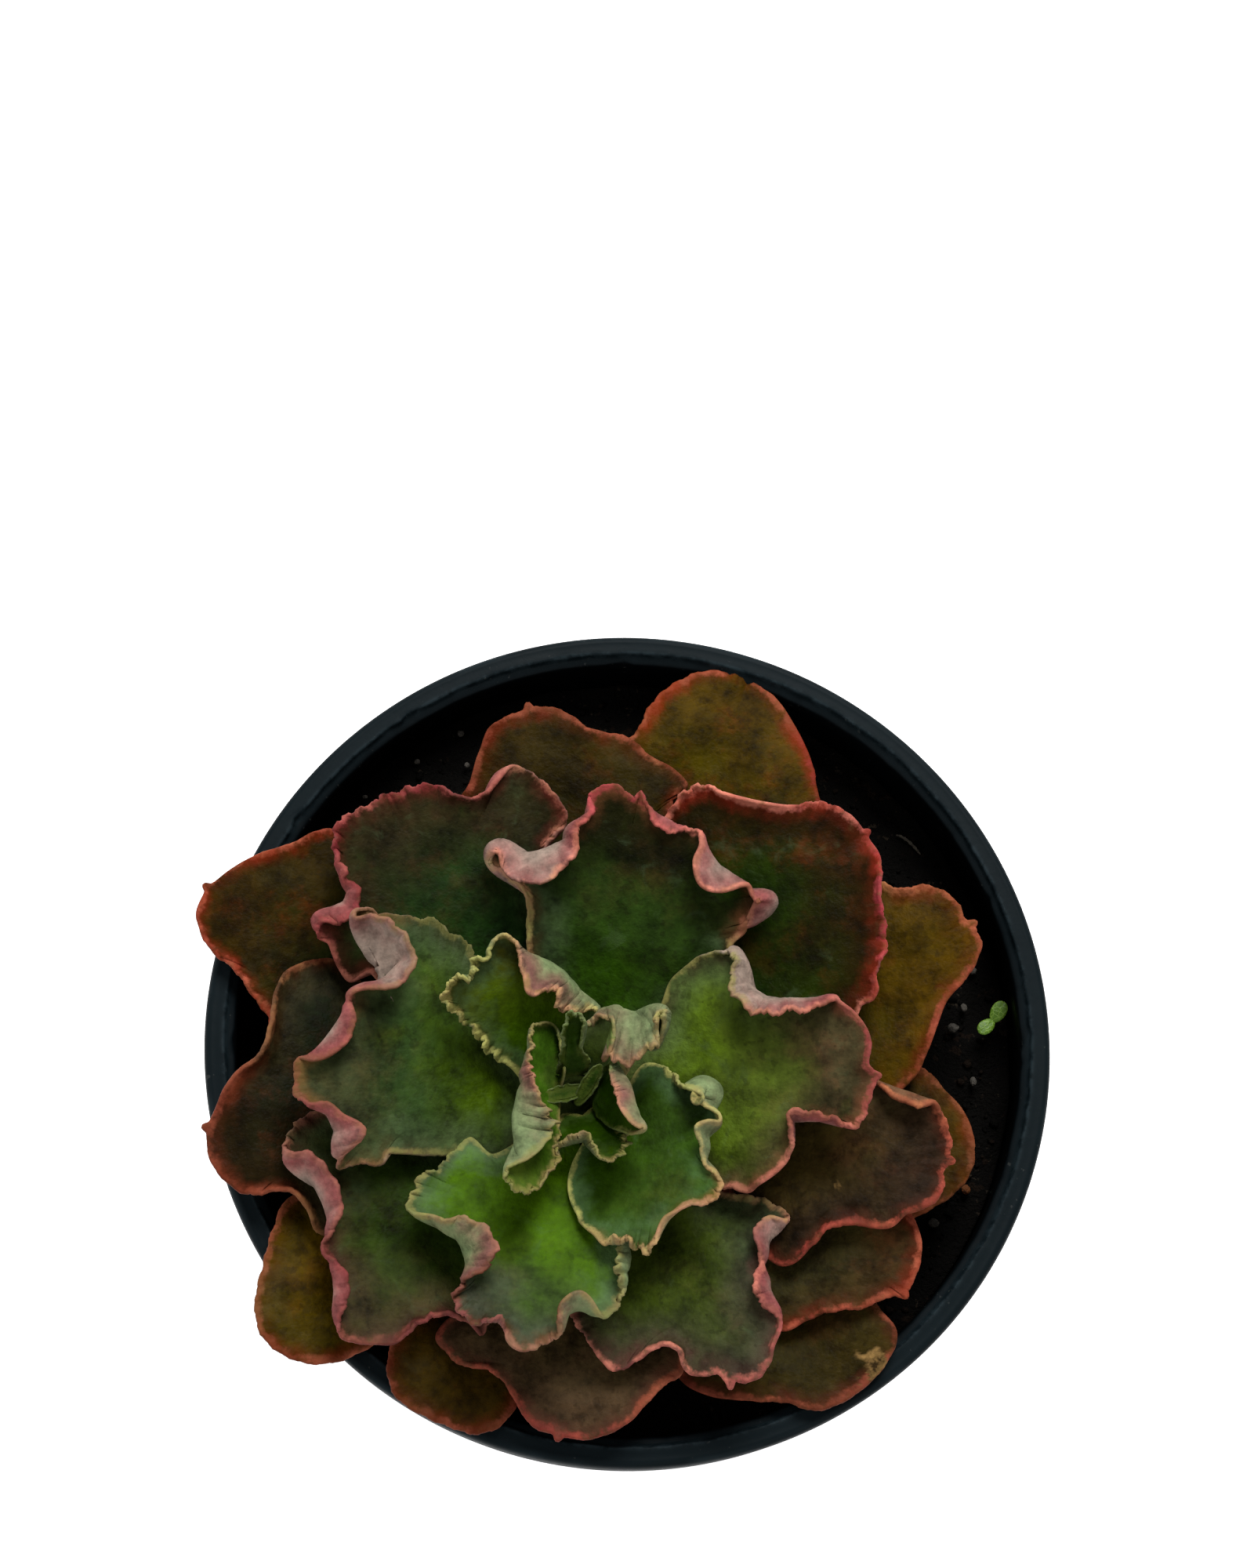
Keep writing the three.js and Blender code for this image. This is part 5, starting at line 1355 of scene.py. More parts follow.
CORK = "#6c5430"
HEART_TONES = LeafTones("#142400", "#1c3200", "#2c4206", "#4a5620")
LEAF_TONES = {
    # painted shade: leaf_outer_01's foot is darkened where leaf_middle_03 shades it
    "leaf_outer_01": LeafTones("#262200", "#342c00", "#3a2a02", "#70260c", 1.2),
    "leaf_outer_02": LeafTones("#1d1a02", "#211d03", "#261c03", "#561d0b", 1.1),
    "leaf_outer_03": LeafTones("#131802", "#191f06", "#281c02", "#6c1e0b", 1.4),
    "leaf_outer_04": LeafTones("#0a1003", "#0c1204", "#1a1204", "#592615", 1.0),
    "leaf_outer_05": LeafTones("#342800", "#483600", "#322800", "#4e1f06", 1.0),
    "leaf_outer_06": LeafTones("#201c01", "#271f01", "#2e2003", "#4f200c", 0.8),
    "leaf_outer_07": LeafTones("#2f2d10", "#372d17", "#3c2d1d", "#4a2b1f", 1.2),
    "leaf_outer_08": LeafTones("#1a1805", "#242007", "#2c2308", "#411d10", 1.1),
    "leaf_outer_09": LeafTones("#22240c", "#302f14", "#362612", "#622112", 1.6),
    "leaf_outer_10": LeafTones("#2c2607", "#342a10", "#281c12", "#4a2115", 1.8),
    "leaf_outer_11": LeafTones("#241900", "#2c2001", "#372603", "#652b0e", 0.9),
    "leaf_outer_12": LeafTones("#2a2400", "#342a00", "#443002", "#5a210e", 1.5),
    "leaf_middle_01": LeafTones("#152f09", "#16270b", "#231e0e", "#561e19", 1.1),
    "leaf_middle_02": LeafTones("#1e3602", "#20320c", "#141404", "#50311b", 1.7),
    "leaf_middle_03": LeafTones("#132802", "#182102", "#1e1102", "#722214", 1.7),
    "leaf_middle_04": LeafTones("#334602", "#263817", "#31361e", "#684d2a", 0.9),
    # painted light: the shoulder of leaf_middle_05 and the foot of leaf_middle_06 are lightened against the
    # shade cast on them
    "leaf_middle_05": LeafTones("#243a08", "#1e2c06", "#362d1a", "#3e1b1a", 0.7),
    "leaf_middle_06": LeafTones("#4a600e", "#3f4d14", "#352e1b", "#6d402b", 1.2),
    "leaf_middle_07": LeafTones("#343f0c", "#2f3b0a", "#333024", "#512c28", 1.4),
    # painted light: leaf_inner_01's foot and blade are lightened against the shade of its own rolled margin
    "leaf_inner_01": LeafTones("#365200", "#3c5a08", "#3a3e30", "#5a300f", 0.8),
    "leaf_inner_02": LeafTones("#243c01", "#2a400f", "#2f461a", "#654a1c", 1.4),
    "leaf_inner_03": LeafTones("#325000", "#364802", "#353606", "#5e561a", 1.3),
    "leaf_inner_04": LeafTones("#455812", "#6a7d3c", "#647041", "#533918", 1.0),
    "leaf_heart_01": LeafTones("#36540f", "#2c440a", "#56681e", "#6c7634", 1.0),
}


# ---- pot

def turned_body(profile: Array, segments: int) -> Array:
    """A grid of a profile of radius and height, from the axis outward, turned about +Z.

    Args:
        profile: radius and height of each point.
        segments: how many points there are round the axis.

    Returns:
        The grid of points.
    """
    angle = np.arange(segments) * 2.0 * np.pi / segments
    radius, height = profile[:, 0][:, None], profile[:, 1][:, None]
    x, y = radius * np.cos(angle), radius * np.sin(angle)
    return np.stack([x, y, np.broadcast_to(height, x.shape)], axis=-1)


def rounded_profile(corners: Array, radius: float, steps: int) -> Array:
    """A profile with each inner corner replaced by a short quadratic curve.

    Args:
        corners: radius and height of each corner.
        radius: how far from a corner its curve starts, at most.
        steps: points on each curve.

    Returns:
        The smoothed profile.
    """
    before, here, after = corners[:-2], corners[1:-1], corners[2:]
    back, ahead = before - here, after - here
    reach_back = np.minimum(radius, 0.45 * np.linalg.norm(back, axis=1))[:, None]
    reach_ahead = np.minimum(radius, 0.45 * np.linalg.norm(ahead, axis=1))[:, None]
    start = (here + unit(back) * reach_back)[:, None, :]
    end = (here + unit(ahead) * reach_ahead)[:, None, :]
    t = np.linspace(0.0, 1.0, steps)[None, :, None]
    curve = (1 - t) ** 2 * start + 2 * t * (1 - t) * here[:, None, :] + t * t * end
    return np.concatenate([corners[:1], curve.reshape(-1, 2), corners[-1:]])


@dataclass
class Pot:
    """Thin-walled tapered plastic pot with a thicker rim band, a flat lip and drain holes."""

    height: float
    rim_radius: float
    rim_band: float = 14.5
    lip_width: float = 4.0
    band_step: float = 2.4
    base_radius: float = 55.0
    wall: float = 1.7
    floor: float = 2.2
    drain_count: int = 8
    drain_radius: float = 4.5
    drain_circle: float = 41.0
    drain_field: float = 7.5
    per_drain: int = 32

    @property
    def segments(self) -> int:
        """Points round the pot."""
        return self.drain_count * self.per_drain

    def body_radius(self, height: float) -> float:
        """Radius of the body's outer face at a height above the base."""
        top = self.rim_radius - self.band_step - 0.6
        return self.base_radius + (top - self.base_radius) * height / (self.height - self.rim_band)

    def wall_profile(self) -> Array:
        """The section from the floor outside the drain holes, up, over the lip and down to the base."""
        h, outer, inner = self.height, self.rim_radius, self.rim_radius - self.lip_width
        foot = h - self.rim_band
        field = self.drain_circle + self.drain_field
        inner_wall = [[self.body_radius(up) - self.wall, up] for up in np.linspace(self.floor, foot, 24)]
        outer_wall = [[self.body_radius(foot * t), foot * t] for t in np.linspace(1.0, 0.03, 24)]
        corners = np.array([
            [field, self.floor],
            *inner_wall,
            [inner - 1.6, h - 3.0],
            [inner - 1.3, h - 1.6],
            [inner, h - 1.1],
            [inner + 0.25, h - 0.05],
            [inner + 0.9, h],
            [inner + 2.0, h - 0.08],
            [outer - 1.1, h],
            [outer - 0.3, h - 0.5],
            [outer, h - 1.6],
            [outer - 0.15, h - 5.0],
            [outer - 0.5, foot + 1.6],
            [outer - 0.9, foot + 0.5],
            *outer_wall,
            [self.body_radius(1.2), 1.2],
            [self.base_radius - 1.2, 0.0],
            [field, 0.0],
        ])
        return rounded_profile(corners, 0.45, 4)

    def drain_patch(self, turn: float) -> Array:
        """The floor round one drain hole: from the wedge's border to the hole, down it, and back.

        The border is the wedge between two circles and two spokes. Rows run from the border to
        the hole's edge on the upper face, down the hole, and back to the border on the lower.

        Args:
            turn: direction of the hole from the axis, in radians.

        Returns:
            The grid of points, with its columns running clockwise round the hole.
        """
        half = np.pi / self.drain_count
        low, high = self.drain_circle - self.drain_field, self.drain_circle + self.drain_field
        arc = np.linspace(-half, half, self.per_drain + 1)
        side = np.linspace(low, high, 13)
        outer, inner = np.full(self.per_drain, high), np.full(self.per_drain, low)
        radius = np.concatenate([outer, side[:0:-1], inner, side[:-1]])
        angle = np.concatenate([arc[:-1], np.full(12, half), arc[:0:-1], np.full(12, -half)])
        border = np.stack([radius * np.cos(angle), radius * np.sin(angle)], axis=-1)
        centre = np.array([self.drain_circle, 0.0])
        hole = centre + unit(border - centre) * self.drain_radius
        spread = np.linspace(0.0, 1.0, 6)[:, None, None]
        flat = border + (hole - border) * spread
        rim = centre + (hole - centre) * (1.0 + 0.35 / self.drain_radius)
        flat[-2] = rim
        top = np.concatenate([flat, np.full((*flat.shape[:2], 1), self.floor)], axis=-1)
        bottom = np.concatenate([flat[::-1], np.zeros((*flat.shape[:2], 1))], axis=-1)
        top[-1, :, 2] -= 0.25
        bottom[0, :, 2] += 0.25
        grid = np.concatenate([top, bottom])
        x, y = turned(grid[..., 0], grid[..., 1], turn)
        return np.stack([x, y, grid[..., 2]], axis=-1)[:, ::-1]

    def worn(self, grid: Array) -> Array:
        """Nicks and waviness of the moulded lip: the inner edge is ragged and the lip is a little uneven.

        Args:
            grid: the wall as it left the mould.

        Returns:
            The worn wall.
        """
        radius = np.hypot(grid[..., 0], grid[..., 1])
        at_lip = smooth(grid[..., 2], self.height - 3.5, self.height - 0.6)
        lip = self.rim_radius - self.lip_width
        inner_edge = at_lip * (1.0 - smooth(radius, lip + 0.3, self.rim_radius - 1.4))
        ragged = layered_noise(grid * np.array([1.0, 1.0, 0.2]), 2.2, 31, 3)
        nicks = smooth(layered_noise(grid, 5.0, 37, 2), 0.45, 0.8)
        push = inner_edge * (0.22 * ragged + 0.5 * nicks)
        wavy = 0.12 * at_lip * lattice_noise(grid, 16.0, 41)
        scale = 1.0 + push / np.maximum(radius, 1.0)
        drop = 0.25 * push + 0.13 * at_lip
        return np.stack([grid[..., 0] * scale, grid[..., 1] * scale, grid[..., 2] + wavy - drop], axis=-1)

    def make(self, material: Material) -> Object:
        """Builds the pot's mesh and dresses it.

        Args:
            material: the plastic.

        Returns:
            The finished piece.
        """
        field_low = self.drain_circle - self.drain_field
        wall = self.worn(turned_body(self.wall_profile(), self.segments))
        wall[0, :, 2], wall[-1, :, 2] = self.floor, 0.0
        spread = np.array([0.0, 12.0, 24.0, field_low])
        disc = turned_body(np.column_stack([spread, np.full(4, self.floor)]), self.segments)
        base = turned_body(np.column_stack([spread[::-1], np.zeros(4)]), self.segments)
        turns = 2.0 * np.pi * (np.arange(self.drain_count) + 0.5) / self.drain_count
        places, triangles = joined([disc, wall, base, *(self.drain_patch(turn) for turn in turns)])
        radius = np.hypot(places[:, 0], places[:, 1])
        lip = self.rim_radius - self.lip_width
        below = self.height - places[:, 2]
        from_inner, from_outer = radius - lip - 0.35, radius - self.rim_radius + 0.5
        within_lip = (radius < lip + 0.2) * (places[:, 2] > self.floor + 1.0)
        masks = {
            # painted highlight: pale glint lines along the lip's inner edge and outer corner
            "inner_glint_line": np.exp(-((from_inner / 0.45) ** 2)) * (1.0 - smooth(below, 0.7, 2.0)),
            "outer_glint_line": np.exp(-((from_outer / 0.5) ** 2)) * (1.0 - smooth(below, 0.9, 2.2)),
            # painted shade: nearly black below the lip inside the pot; the radius test also takes in the
            # outer body below the rim band
            "wall": within_lip * smooth(below, 1.0, 2.2),
        }
        piece = make_piece("nursery_pot", places, triangles, masks)
        return dressed(piece, material, "pot_plastic", "pot")


@dataclass(frozen=True)
class PotPlastic:
    """Satin black plastic with a cold cast, scuffed and dusty, with painted highlights along the
    lip's inner and outer edges and painted shade that makes it blacker on the wall.
    """

    colour: str = "#0d1518"
    # painted shade: the near black of the pot's inside
    wall: str = "#020304"
    # the colour of scuffs and of the painted highlight along the lip's edges
    rubbed: str = "#222c30"
    dust: str = "#3c3e3c"

    def material(self, effects: Effects) -> Material:
        """The pot's material.

        Args:
            effects: the shared effects.

        Returns:
            The material.
        """
        making = Finish("pot_plastic", Gloss(specular=0.05, relief=0.25, relief_depth=0.0003))
        g = making.graph
        base = making.mottled(effects, self.colour, 40.0, 600.0, 0.35)
        # painted shade: blacker on the wall below the lip
        colour = g.mix(g.mask("wall"), base["Colour"], self.wall)
        scuffs = effects.scuffs.place(g, {"Place": making.place, "Scale": 70.0, "Cover": 0.35})
        colour = g.mix(g.times(scuffs["Mask"], 0.35), colour, self.rubbed)
        # painted highlight: a broken pale line along the lip's inner edge and a fainter one along its outer
        # corner
        ragged = g.noise(making.place, 330.0, 4.0, 0.7)
        broken = g.step(ragged, 0.42, 0.6)
        inner = g.times(g.mask("inner_glint_line"), broken)
        colour = g.mix(g.times(inner, 0.7), colour, self.rubbed)
        outer = g.times(g.mask("outer_glint_line"), g.step(g.noise(making.place, 60.0, 3.0), 0.45, 0.7))
        colour = g.mix(g.times(outer, 0.5), colour, self.rubbed)
        colour = making.speckled(effects, colour, self.dust, 900.0, 0.05, 0.4)
        rough = g.times_plus(base["Cloud"], 0.2, 0.42)
        rough = g.times_plus(scuffs["Mask"], 0.2, rough)
        parts = g.add("SeparateXYZ", {0: making.place}).outputs
        rings = g.math("SINE", g.times(parts[2], 2600.0))
        height = g.times_plus(base["Grain"], 0.5, g.times(rings, 0.12))
        return making.done(colour, rough, height)


# ---- potting mix

@dataclass
class PottingMix:
    """Potting mix filling the pot, with a well round the buried stem and loose lumps on top."""

    pot: Pot
    stem_x: float
    stem_y: float
    drop: float = 14.0
    mound: float = 1.5
    gap: float = 0.4
    well_radius: float = 9.0
    well_depth: float = 8.0
    segments: int = 240
    lump_count: int = 2600

    def level(self, x: Array, y: Array) -> Array:
        """Height of the surface: lower at the wall, mounded at the stem, with broad lumps.

        Args:
            x: places in plan.
            y: the same.

        Returns:
            The heights.
        """
        from_stem = np.hypot(x - self.stem_x, y - self.stem_y)
        mound = self.mound * np.exp(-((from_stem / 30.0) ** 2))
        lumps = 0.5 * np.sin(0.31 * x + 1.1) * np.cos(0.27 * y) + 0.35 * np.sin(0.5 * x - 0.43 * y)
        return self.pot.height - self.drop + mound + lumps

    def crumbled(self, x: Array, y: Array) -> Array:
        """Fine roughness of the surface: layered noise whose peaks are sharpened.

        Args:
            x: places in plan.
            y: the same.

        Returns:
            The height to add.
        """
        flat = np.stack([x, y, np.zeros_like(x)], axis=-1)
        rough = layered_noise(flat, 3.4, 51, 4)
        return 0.55 * np.abs(rough) + 0.25 * layered_noise(flat, 9.0, 61, 2) - 0.2

    def make_bed(self, material: Material) -> Object:
        """Builds the closed body: the well's floor, its wall, the surface, the side and the foot.

        Args:
            material: the mix.

        Returns:
            The finished piece.
        """
        angle = np.arange(self.segments) * 2.0 * np.pi / self.segments
        top = self.pot.height - self.drop
        edge = self.pot.body_radius(top) - self.pot.wall - self.gap - 0.3
        foot = self.pot.body_radius(self.pot.floor) - self.pot.wall - self.gap - 0.3
        share = np.linspace(0.0, 1.0, 130)[:, None]
        radius = self.well_radius + (edge - self.well_radius) * share
        x = self.stem_x * (1.0 - share) + radius * np.cos(angle)
        y = self.stem_y * (1.0 - share) + radius * np.sin(angle)
        fade = smooth(share, 0.0, 0.04) * (1.0 - smooth(share, 0.97, 1.0))
        surface = np.stack([x, y, self.level(x, y) + fade * self.crumbled(x, y)], axis=-1)

        def ring(centre: tuple[float, float], size: float, height: float) -> Array:
            """A level circle of points."""
            x, y = centre[0] + size * np.cos(angle), centre[1] + size * np.sin(angle)
            return np.stack([x, y, np.full(self.segments, height)], axis=-1)[None]

        stem, axis = (self.stem_x, self.stem_y), (0.0, 0.0)
        well_floor = top - self.well_depth
        low = self.pot.floor + self.gap
        grid = np.concatenate([
            ring(stem, 0.0, well_floor), ring(stem, self.well_radius, well_floor), surface,
            ring(axis, edge, top - 4.0), ring(axis, foot, low), ring(axis, 0.0, low),
        ])
        piece = grid_piece("potting_mix_bed", grid)
        return dressed(piece, material, "potting_mix", "soil")

    def make_lumps(self, material: Material) -> Object:
        """Scatters loose lumps of mix over the surface as one mesh of 20-faced grains.

        Args:
            material: the mix.

        Returns:
            The finished piece.
        """
        draw = np.random.default_rng(71)
        golden = (1.0 + 5.0 ** 0.5) / 2.0
        corners = unit(np.array([
            [-1, golden, 0], [1, golden, 0], [-1, -golden, 0], [1, -golden, 0],
            [0, -1, golden], [0, 1, golden], [0, -1, -golden], [0, 1, -golden],
            [golden, 0, -1], [golden, 0, 1], [-golden, 0, -1], [-golden, 0, 1],
        ], dtype=float))
        faces = np.array([
            [0, 11, 5], [0, 5, 1], [0, 1, 7], [0, 7, 10], [0, 10, 11], [1, 5, 9], [5, 11, 4], [11, 10, 2],
            [10, 7, 6], [7, 1, 8], [3, 9, 4], [3, 4, 2], [3, 2, 6], [3, 6, 8], [3, 8, 9], [4, 9, 5],
            [2, 4, 11], [6, 2, 10], [8, 6, 7], [9, 8, 1],
        ])
        reach = self.pot.body_radius(self.pot.height - self.drop) - self.pot.wall - 2.6
        distance = reach * np.sqrt(draw.uniform(0.0, 1.0, self.lump_count))
        turn = draw.uniform(0.0, 2.0 * np.pi, self.lump_count)
        x, y = distance * np.cos(turn), distance * np.sin(turn)
        outside = np.hypot(x - self.stem_x, y - self.stem_y) > self.well_radius + 2.0
        x, y = x[outside], y[outside]
        size = 0.28 + 0.75 * draw.power(0.35, len(x))
        stretch = draw.uniform(0.6, 1.25, (len(x), 1, 3))
        dents = 1.0 + 0.22 * draw.uniform(-1.0, 1.0, (len(x), 12, 1))
        shape = corners[None] * stretch * dents * size[:, None, None]
        spin = draw.uniform(0.0, 2.0 * np.pi, (len(x), 1))
        grid = np.stack([*turned(shape[..., 0], shape[..., 1], spin), shape[..., 2] * 0.75], axis=-1)
        ground = self.level(x, y) + self.crumbled(x, y) + 0.25 * size
        grid = grid + np.stack([x, y, ground], axis=-1)[:, None, :]
        triangles = (faces[None] + 12 * np.arange(len(x))[:, None, None]).reshape(-1, 3)
        piece = make_piece("potting_mix_lumps", grid.reshape(-1, 3), triangles)
        return dressed(piece, material, "potting_mix")


@dataclass(frozen=True)
class MixFinish:
    """Peat and bark fines with brown crumbs, their dark brown deepened to nearly black as painted shade
    inside the pot.
    """

    # painted shade: the peat's own dark brown deepened to nearly black, as deep in the pot
    peat: str = "#050403"
    brown: str = "#140d08"
    pale: str = "#2c251d"

    def material(self, name: str, effects: Effects, brown_cover: float) -> Material:
        """The material, with more or less of the brown crumbs.

        Args:
            name: the material's name.
            effects: the shared effects.
            brown_cover: how many brown crumbs there are.

        Returns:
            The material.
        """
        making = Finish(name, Gloss(specular=0.05, relief=0.8, relief_depth=0.0008))
        g = making.graph
        base = making.mottled(effects, self.peat, 180.0, 1500.0, 0.8)
        colour = making.speckled(effects, base["Colour"], self.brown, 420.0, brown_cover, 0.8)
        colour = making.speckled(effects, colour, self.pale, 900.0, 0.12, 0.6)
        rough = g.times_plus(base["Grain"], 0.2, 0.75)
        return making.done(colour, rough, base["Grain"])


# ---- stem

@dataclass
class Stem:
    """Short thick stem: a blunt root end in the mix, leaf scars round it, and a growing point."""

    x: float
    y: float
    rim: float
    top: float = 14.5
    root: float = -48.0
    radius: float = 5.2
    sides: int = 72
    rows: int = 120

    def radius_at(self, height: Array) -> Array:
        """Radius at a height from the rim plane: an ellipse above it and a slow flare below.

        Args:
            height: heights from the rim plane.

        Returns:
            The radii.
        """
        above = np.clip(height, 0.0, None) / self.top
        crown = self.radius * np.sqrt(np.clip(1.0 - above * above, 0.0, 1.0))
        below = self.radius + np.minimum(3.0, 0.19 * np.clip(-height, 0.0, None))
        blunt = np.sqrt(np.clip(1.0 - np.clip((self.root + 6.0 - height) / 6.0, 0.0, 1.0) ** 2, 0.0, 1.0))
        return np.where(height >= 0.0, crown, below) * blunt

    def make(self, material: Material) -> Object:
        """Turns the stem's outline and cuts a spiral of crescent leaf scars into it.

        Args:
            material: the bark.

        Returns:
            The finished piece.
        """
        ends = np.sin(np.linspace(np.pi / 2, -np.pi / 2, self.rows))
        height = (self.top + self.root) / 2.0 + ends * (self.top - self.root) / 2.0
        angle = np.arange(self.sides) * 2.0 * np.pi / self.sides
        turns = height[:, None] / 2.6
        lane = np.mod(angle[None, :] / (2.0 * np.pi) * 5.0 + turns, 1.0) - 0.5
        scar = np.exp(-((lane / 0.13) ** 2)) * smooth(-np.abs(height[:, None] + 10.0), -22.0, -14.0)
        radius = self.radius_at(height)[:, None] * np.ones_like(angle)
        radius = radius - 0.35 * scar * (radius > 2.0)
        x, y = self.x + radius * np.cos(angle), self.y + radius * np.sin(angle)
        z = self.rim + np.broadcast_to(height[:, None], x.shape)
        grid = np.stack([x, y, z], axis=-1)
        piece = grid_piece("stem_body", grid, {"scar": scar})
        return dressed(piece, material, "stem", "stem")


@dataclass(frozen=True)
class StemFinish:
    """Corky olive-brown bark with paler leaf scars."""

    bark: str = "#1c2408"
    scar: str = "#2c3214"
    dark: str = "#0c1004"

    def material(self, effects: Effects) -> Material:
        """The stem's material.

        Args:
            effects: the shared effects.

        Returns:
            The material.
        """
        making = Finish("stem_bark", Gloss(specular=0.05, relief=0.6, relief_depth=0.0005))
        g = making.graph
        base = making.mottled(effects, self.bark, 220.0, 1400.0, 0.6)
        colour = g.mix(g.times(g.mask("scar"), 0.6), base["Colour"], self.scar)
        colour = making.speckled(effects, colour, self.dark, 500.0, 0.4, 0.7)
        rough = g.times_plus(base["Cloud"], 0.2, 0.6)
        return making.done(colour, rough, base["Grain"])


# ---- small things on the mix

def lump_grid(centre: Array, size: Array, seed: int, rough: float, rows: int = 20,
              columns: int = 28) -> Array:
    """A closed ellipsoid roughened by noise, as rows from its top to its bottom.

    Args:
        centre: its middle.
        size: half lengths along x, y and z.
        seed: which noise.
        rough: the noise's height as a share of the radius.
        rows: rows of points from pole to pole.
        columns: points in a row.

    Returns:
        The grid of points.
    """
    polar = np.linspace(0.0, np.pi, rows)[:, None]
    angle = np.arange(columns) * 2.0 * np.pi / columns
    way = np.stack([
        np.sin(polar) * np.cos(angle), np.sin(polar) * np.sin(angle), np.cos(polar) * np.ones_like(angle),
    ], axis=-1)
    way[0], way[-1] = (0.0, 0.0, 1.0), (0.0, 0.0, -1.0)
    swell = 1.0 + rough * layered_noise(way * 1.3 + seed * 3.7, 0.8, seed, 3)
    return centre + way * size * swell[..., None]


@dataclass
class Litter:
    """Grains of pale grit, a crumb of bark and a dry fibre lying on the mix."""

    effects: Effects
    grit: tuple[str, ...] = tuple(f"grit_{i}" for i in range(1, 10))

    def stone(self, name: str, seed: int, pale: str, dark: str) -> Material:
        """Grainy mineral or bark, from a pale and a dark colour.

        Args:
            name: the material's name.
            seed: changes the size of its clouds.
            pale: its main colour.
            dark: the colour of its pits.

        Returns:
            The material.
        """
        making = Finish(name, Gloss(specular=0.25, relief=0.6, relief_depth=0.0004))
        g = making.graph
        base = making.mottled(self.effects, pale, 500.0 + 40.0 * seed, 2500.0, 0.7)
        colour = making.speckled(self.effects, base["Colour"], dark, 1300.0, 0.5, 0.7)
        return making.done(colour, g.times_plus(base["Grain"], 0.2, 0.7), base["Grain"])

    def make_lump(self, node: str, name: str, slot: str, seed: int, material: Material) -> Object:
        """A rough grain filling the box of the CAD node that it stands for.

        Args:
            node: the CAD node.
            name: the piece's name.
            slot: its finish in the record.
            seed: which noise.
            material: its stone or bark.

        Returns:
            The finished piece.
        """
        low, high = (np.array(corner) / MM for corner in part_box(node))
        grid = lump_grid((low + high) / 2.0, (high - low) / 2.0 * 0.94, seed, 0.16)
        piece = grid_piece(name, grid)
        return dressed(piece, material, slot, node)

    def make_fibre(self, path: Array, radius: float, material: Material) -> Object:
        """A dry fibre: a flattened tube along a smooth path, tapering to both ends.

        Args:
            path: points along its middle.
            radius: half its greatest width.
            material: its material.

        Returns:
            The finished piece.
        """
        share = np.linspace(0.0, 1.0, 60)
        knots = np.linspace(0.0, 1.0, len(path))
        line = np.stack([np.interp(share, knots, path[:, k]) for k in range(3)], axis=-1)
        kernel = np.hanning(13) / np.hanning(13).sum()
        padded = np.pad(line, ((6, 6), (0, 0)), mode="edge")
        line = np.stack([np.convolve(padded[:, k], kernel, "valid") for k in range(3)], axis=-1)
        along = unit(np.gradient(line, axis=0))
        across = unit(np.cross(np.array([0.0, 0.0, 1.0]), along))
        over = np.cross(along, across)
        angle = np.arange(14) * 2.0 * np.pi / 14
        taper = radius * np.sin(np.pi * np.clip(share, 0.0, 1.0)) ** 0.4
        taper = (taper * (1.0 + 0.2 * np.sin(share * 37.0)))[:, None, None]
        swing, rise = np.cos(angle)[None, :, None], 0.7 * np.sin(angle)[None, :, None]
        grid = line[:, None] + taper * (swing * across[:, None] + rise * over[:, None])
        piece = make_piece("dry_fibre_strand", grid.reshape(-1, 3), grid_triangles(*grid.shape[:2])[:, ::-1])
        return dressed(piece, material, "fibre", "dry_fibre")


# ---- seedling

@dataclass
class Seedling:
    """A weed seedling: a thin stalk forking into two oval seed leaves."""

    x: float
    y: float
    ground: float
    height: float = 4.0
    stalk_radius: float = 0.4
    leaves: tuple[tuple[float, float, float, float], ...] = ((58.0, 4.4, 2.9, 12.0), (219.0, 3.9, 2.6, 8.0))

    def seed_leaf(self, turn: float, length: float, width: float, tilt: float) -> Array:
        """An oval blade: a flattened ball, blunt at the tip, with a groove along its middle.

        Args:
            turn: its direction in degrees.
            length: its length.
            width: its width.
            tilt: how far its tip is raised, in degrees.

        Returns:
            The grid of points.
        """
        polar = np.linspace(0.0, np.pi, 26)[:, None]
        angle = np.arange(40) * 2.0 * np.pi / 40
        x = 0.5 * length * np.sin(polar) * np.cos(angle)
        y = 0.5 * width * np.sin(polar) * np.sin(angle) * (1.0 + 0.12 * np.sin(polar) * np.cos(angle))
        groove = 0.12 * np.exp(-((y / (0.08 * width)) ** 2)) * (np.cos(polar) > 0.0) * np.sin(polar)
        z = 0.42 * np.cos(polar) * np.ones_like(angle) + 0.06 * y * y - groove
        x = x + 0.5 * length - 0.25
        lean, way = np.radians(tilt), np.radians(turn)
        out, up = turned(x, z, lean)
        x, y = turned(out, y, way)
        return np.stack([self.x + x, self.y + y, self.ground + self.height + up], axis=-1)

    def make(self, material: Material) -> Object:
        """Joins the stalk and the two seed leaves into one mesh.

        Args:
            material: the green.

        Returns:
            The finished piece.
        """
        angle = np.arange(16) * 2.0 * np.pi / 16
        climb = np.linspace(1.0, 0.0, 14)[:, None]
        blunt = np.sqrt(np.clip(1.0 - (2.0 * climb - 1.0) ** 12, 0.0, 1.0))
        radius = self.stalk_radius * (0.75 + 0.25 * climb) * blunt
        stalk = np.stack([
            self.x + radius * np.cos(angle), self.y + radius * np.sin(angle),
            self.ground + (self.height + 0.3) * climb + 0.0 * angle,
        ], axis=-1)
        blades = [self.seed_leaf(*leaf) for leaf in self.leaves]
        piece = make_piece("seedling_plant", *joined([stalk, *blades]))
        return dressed(piece, material, "seedling", "seedling")


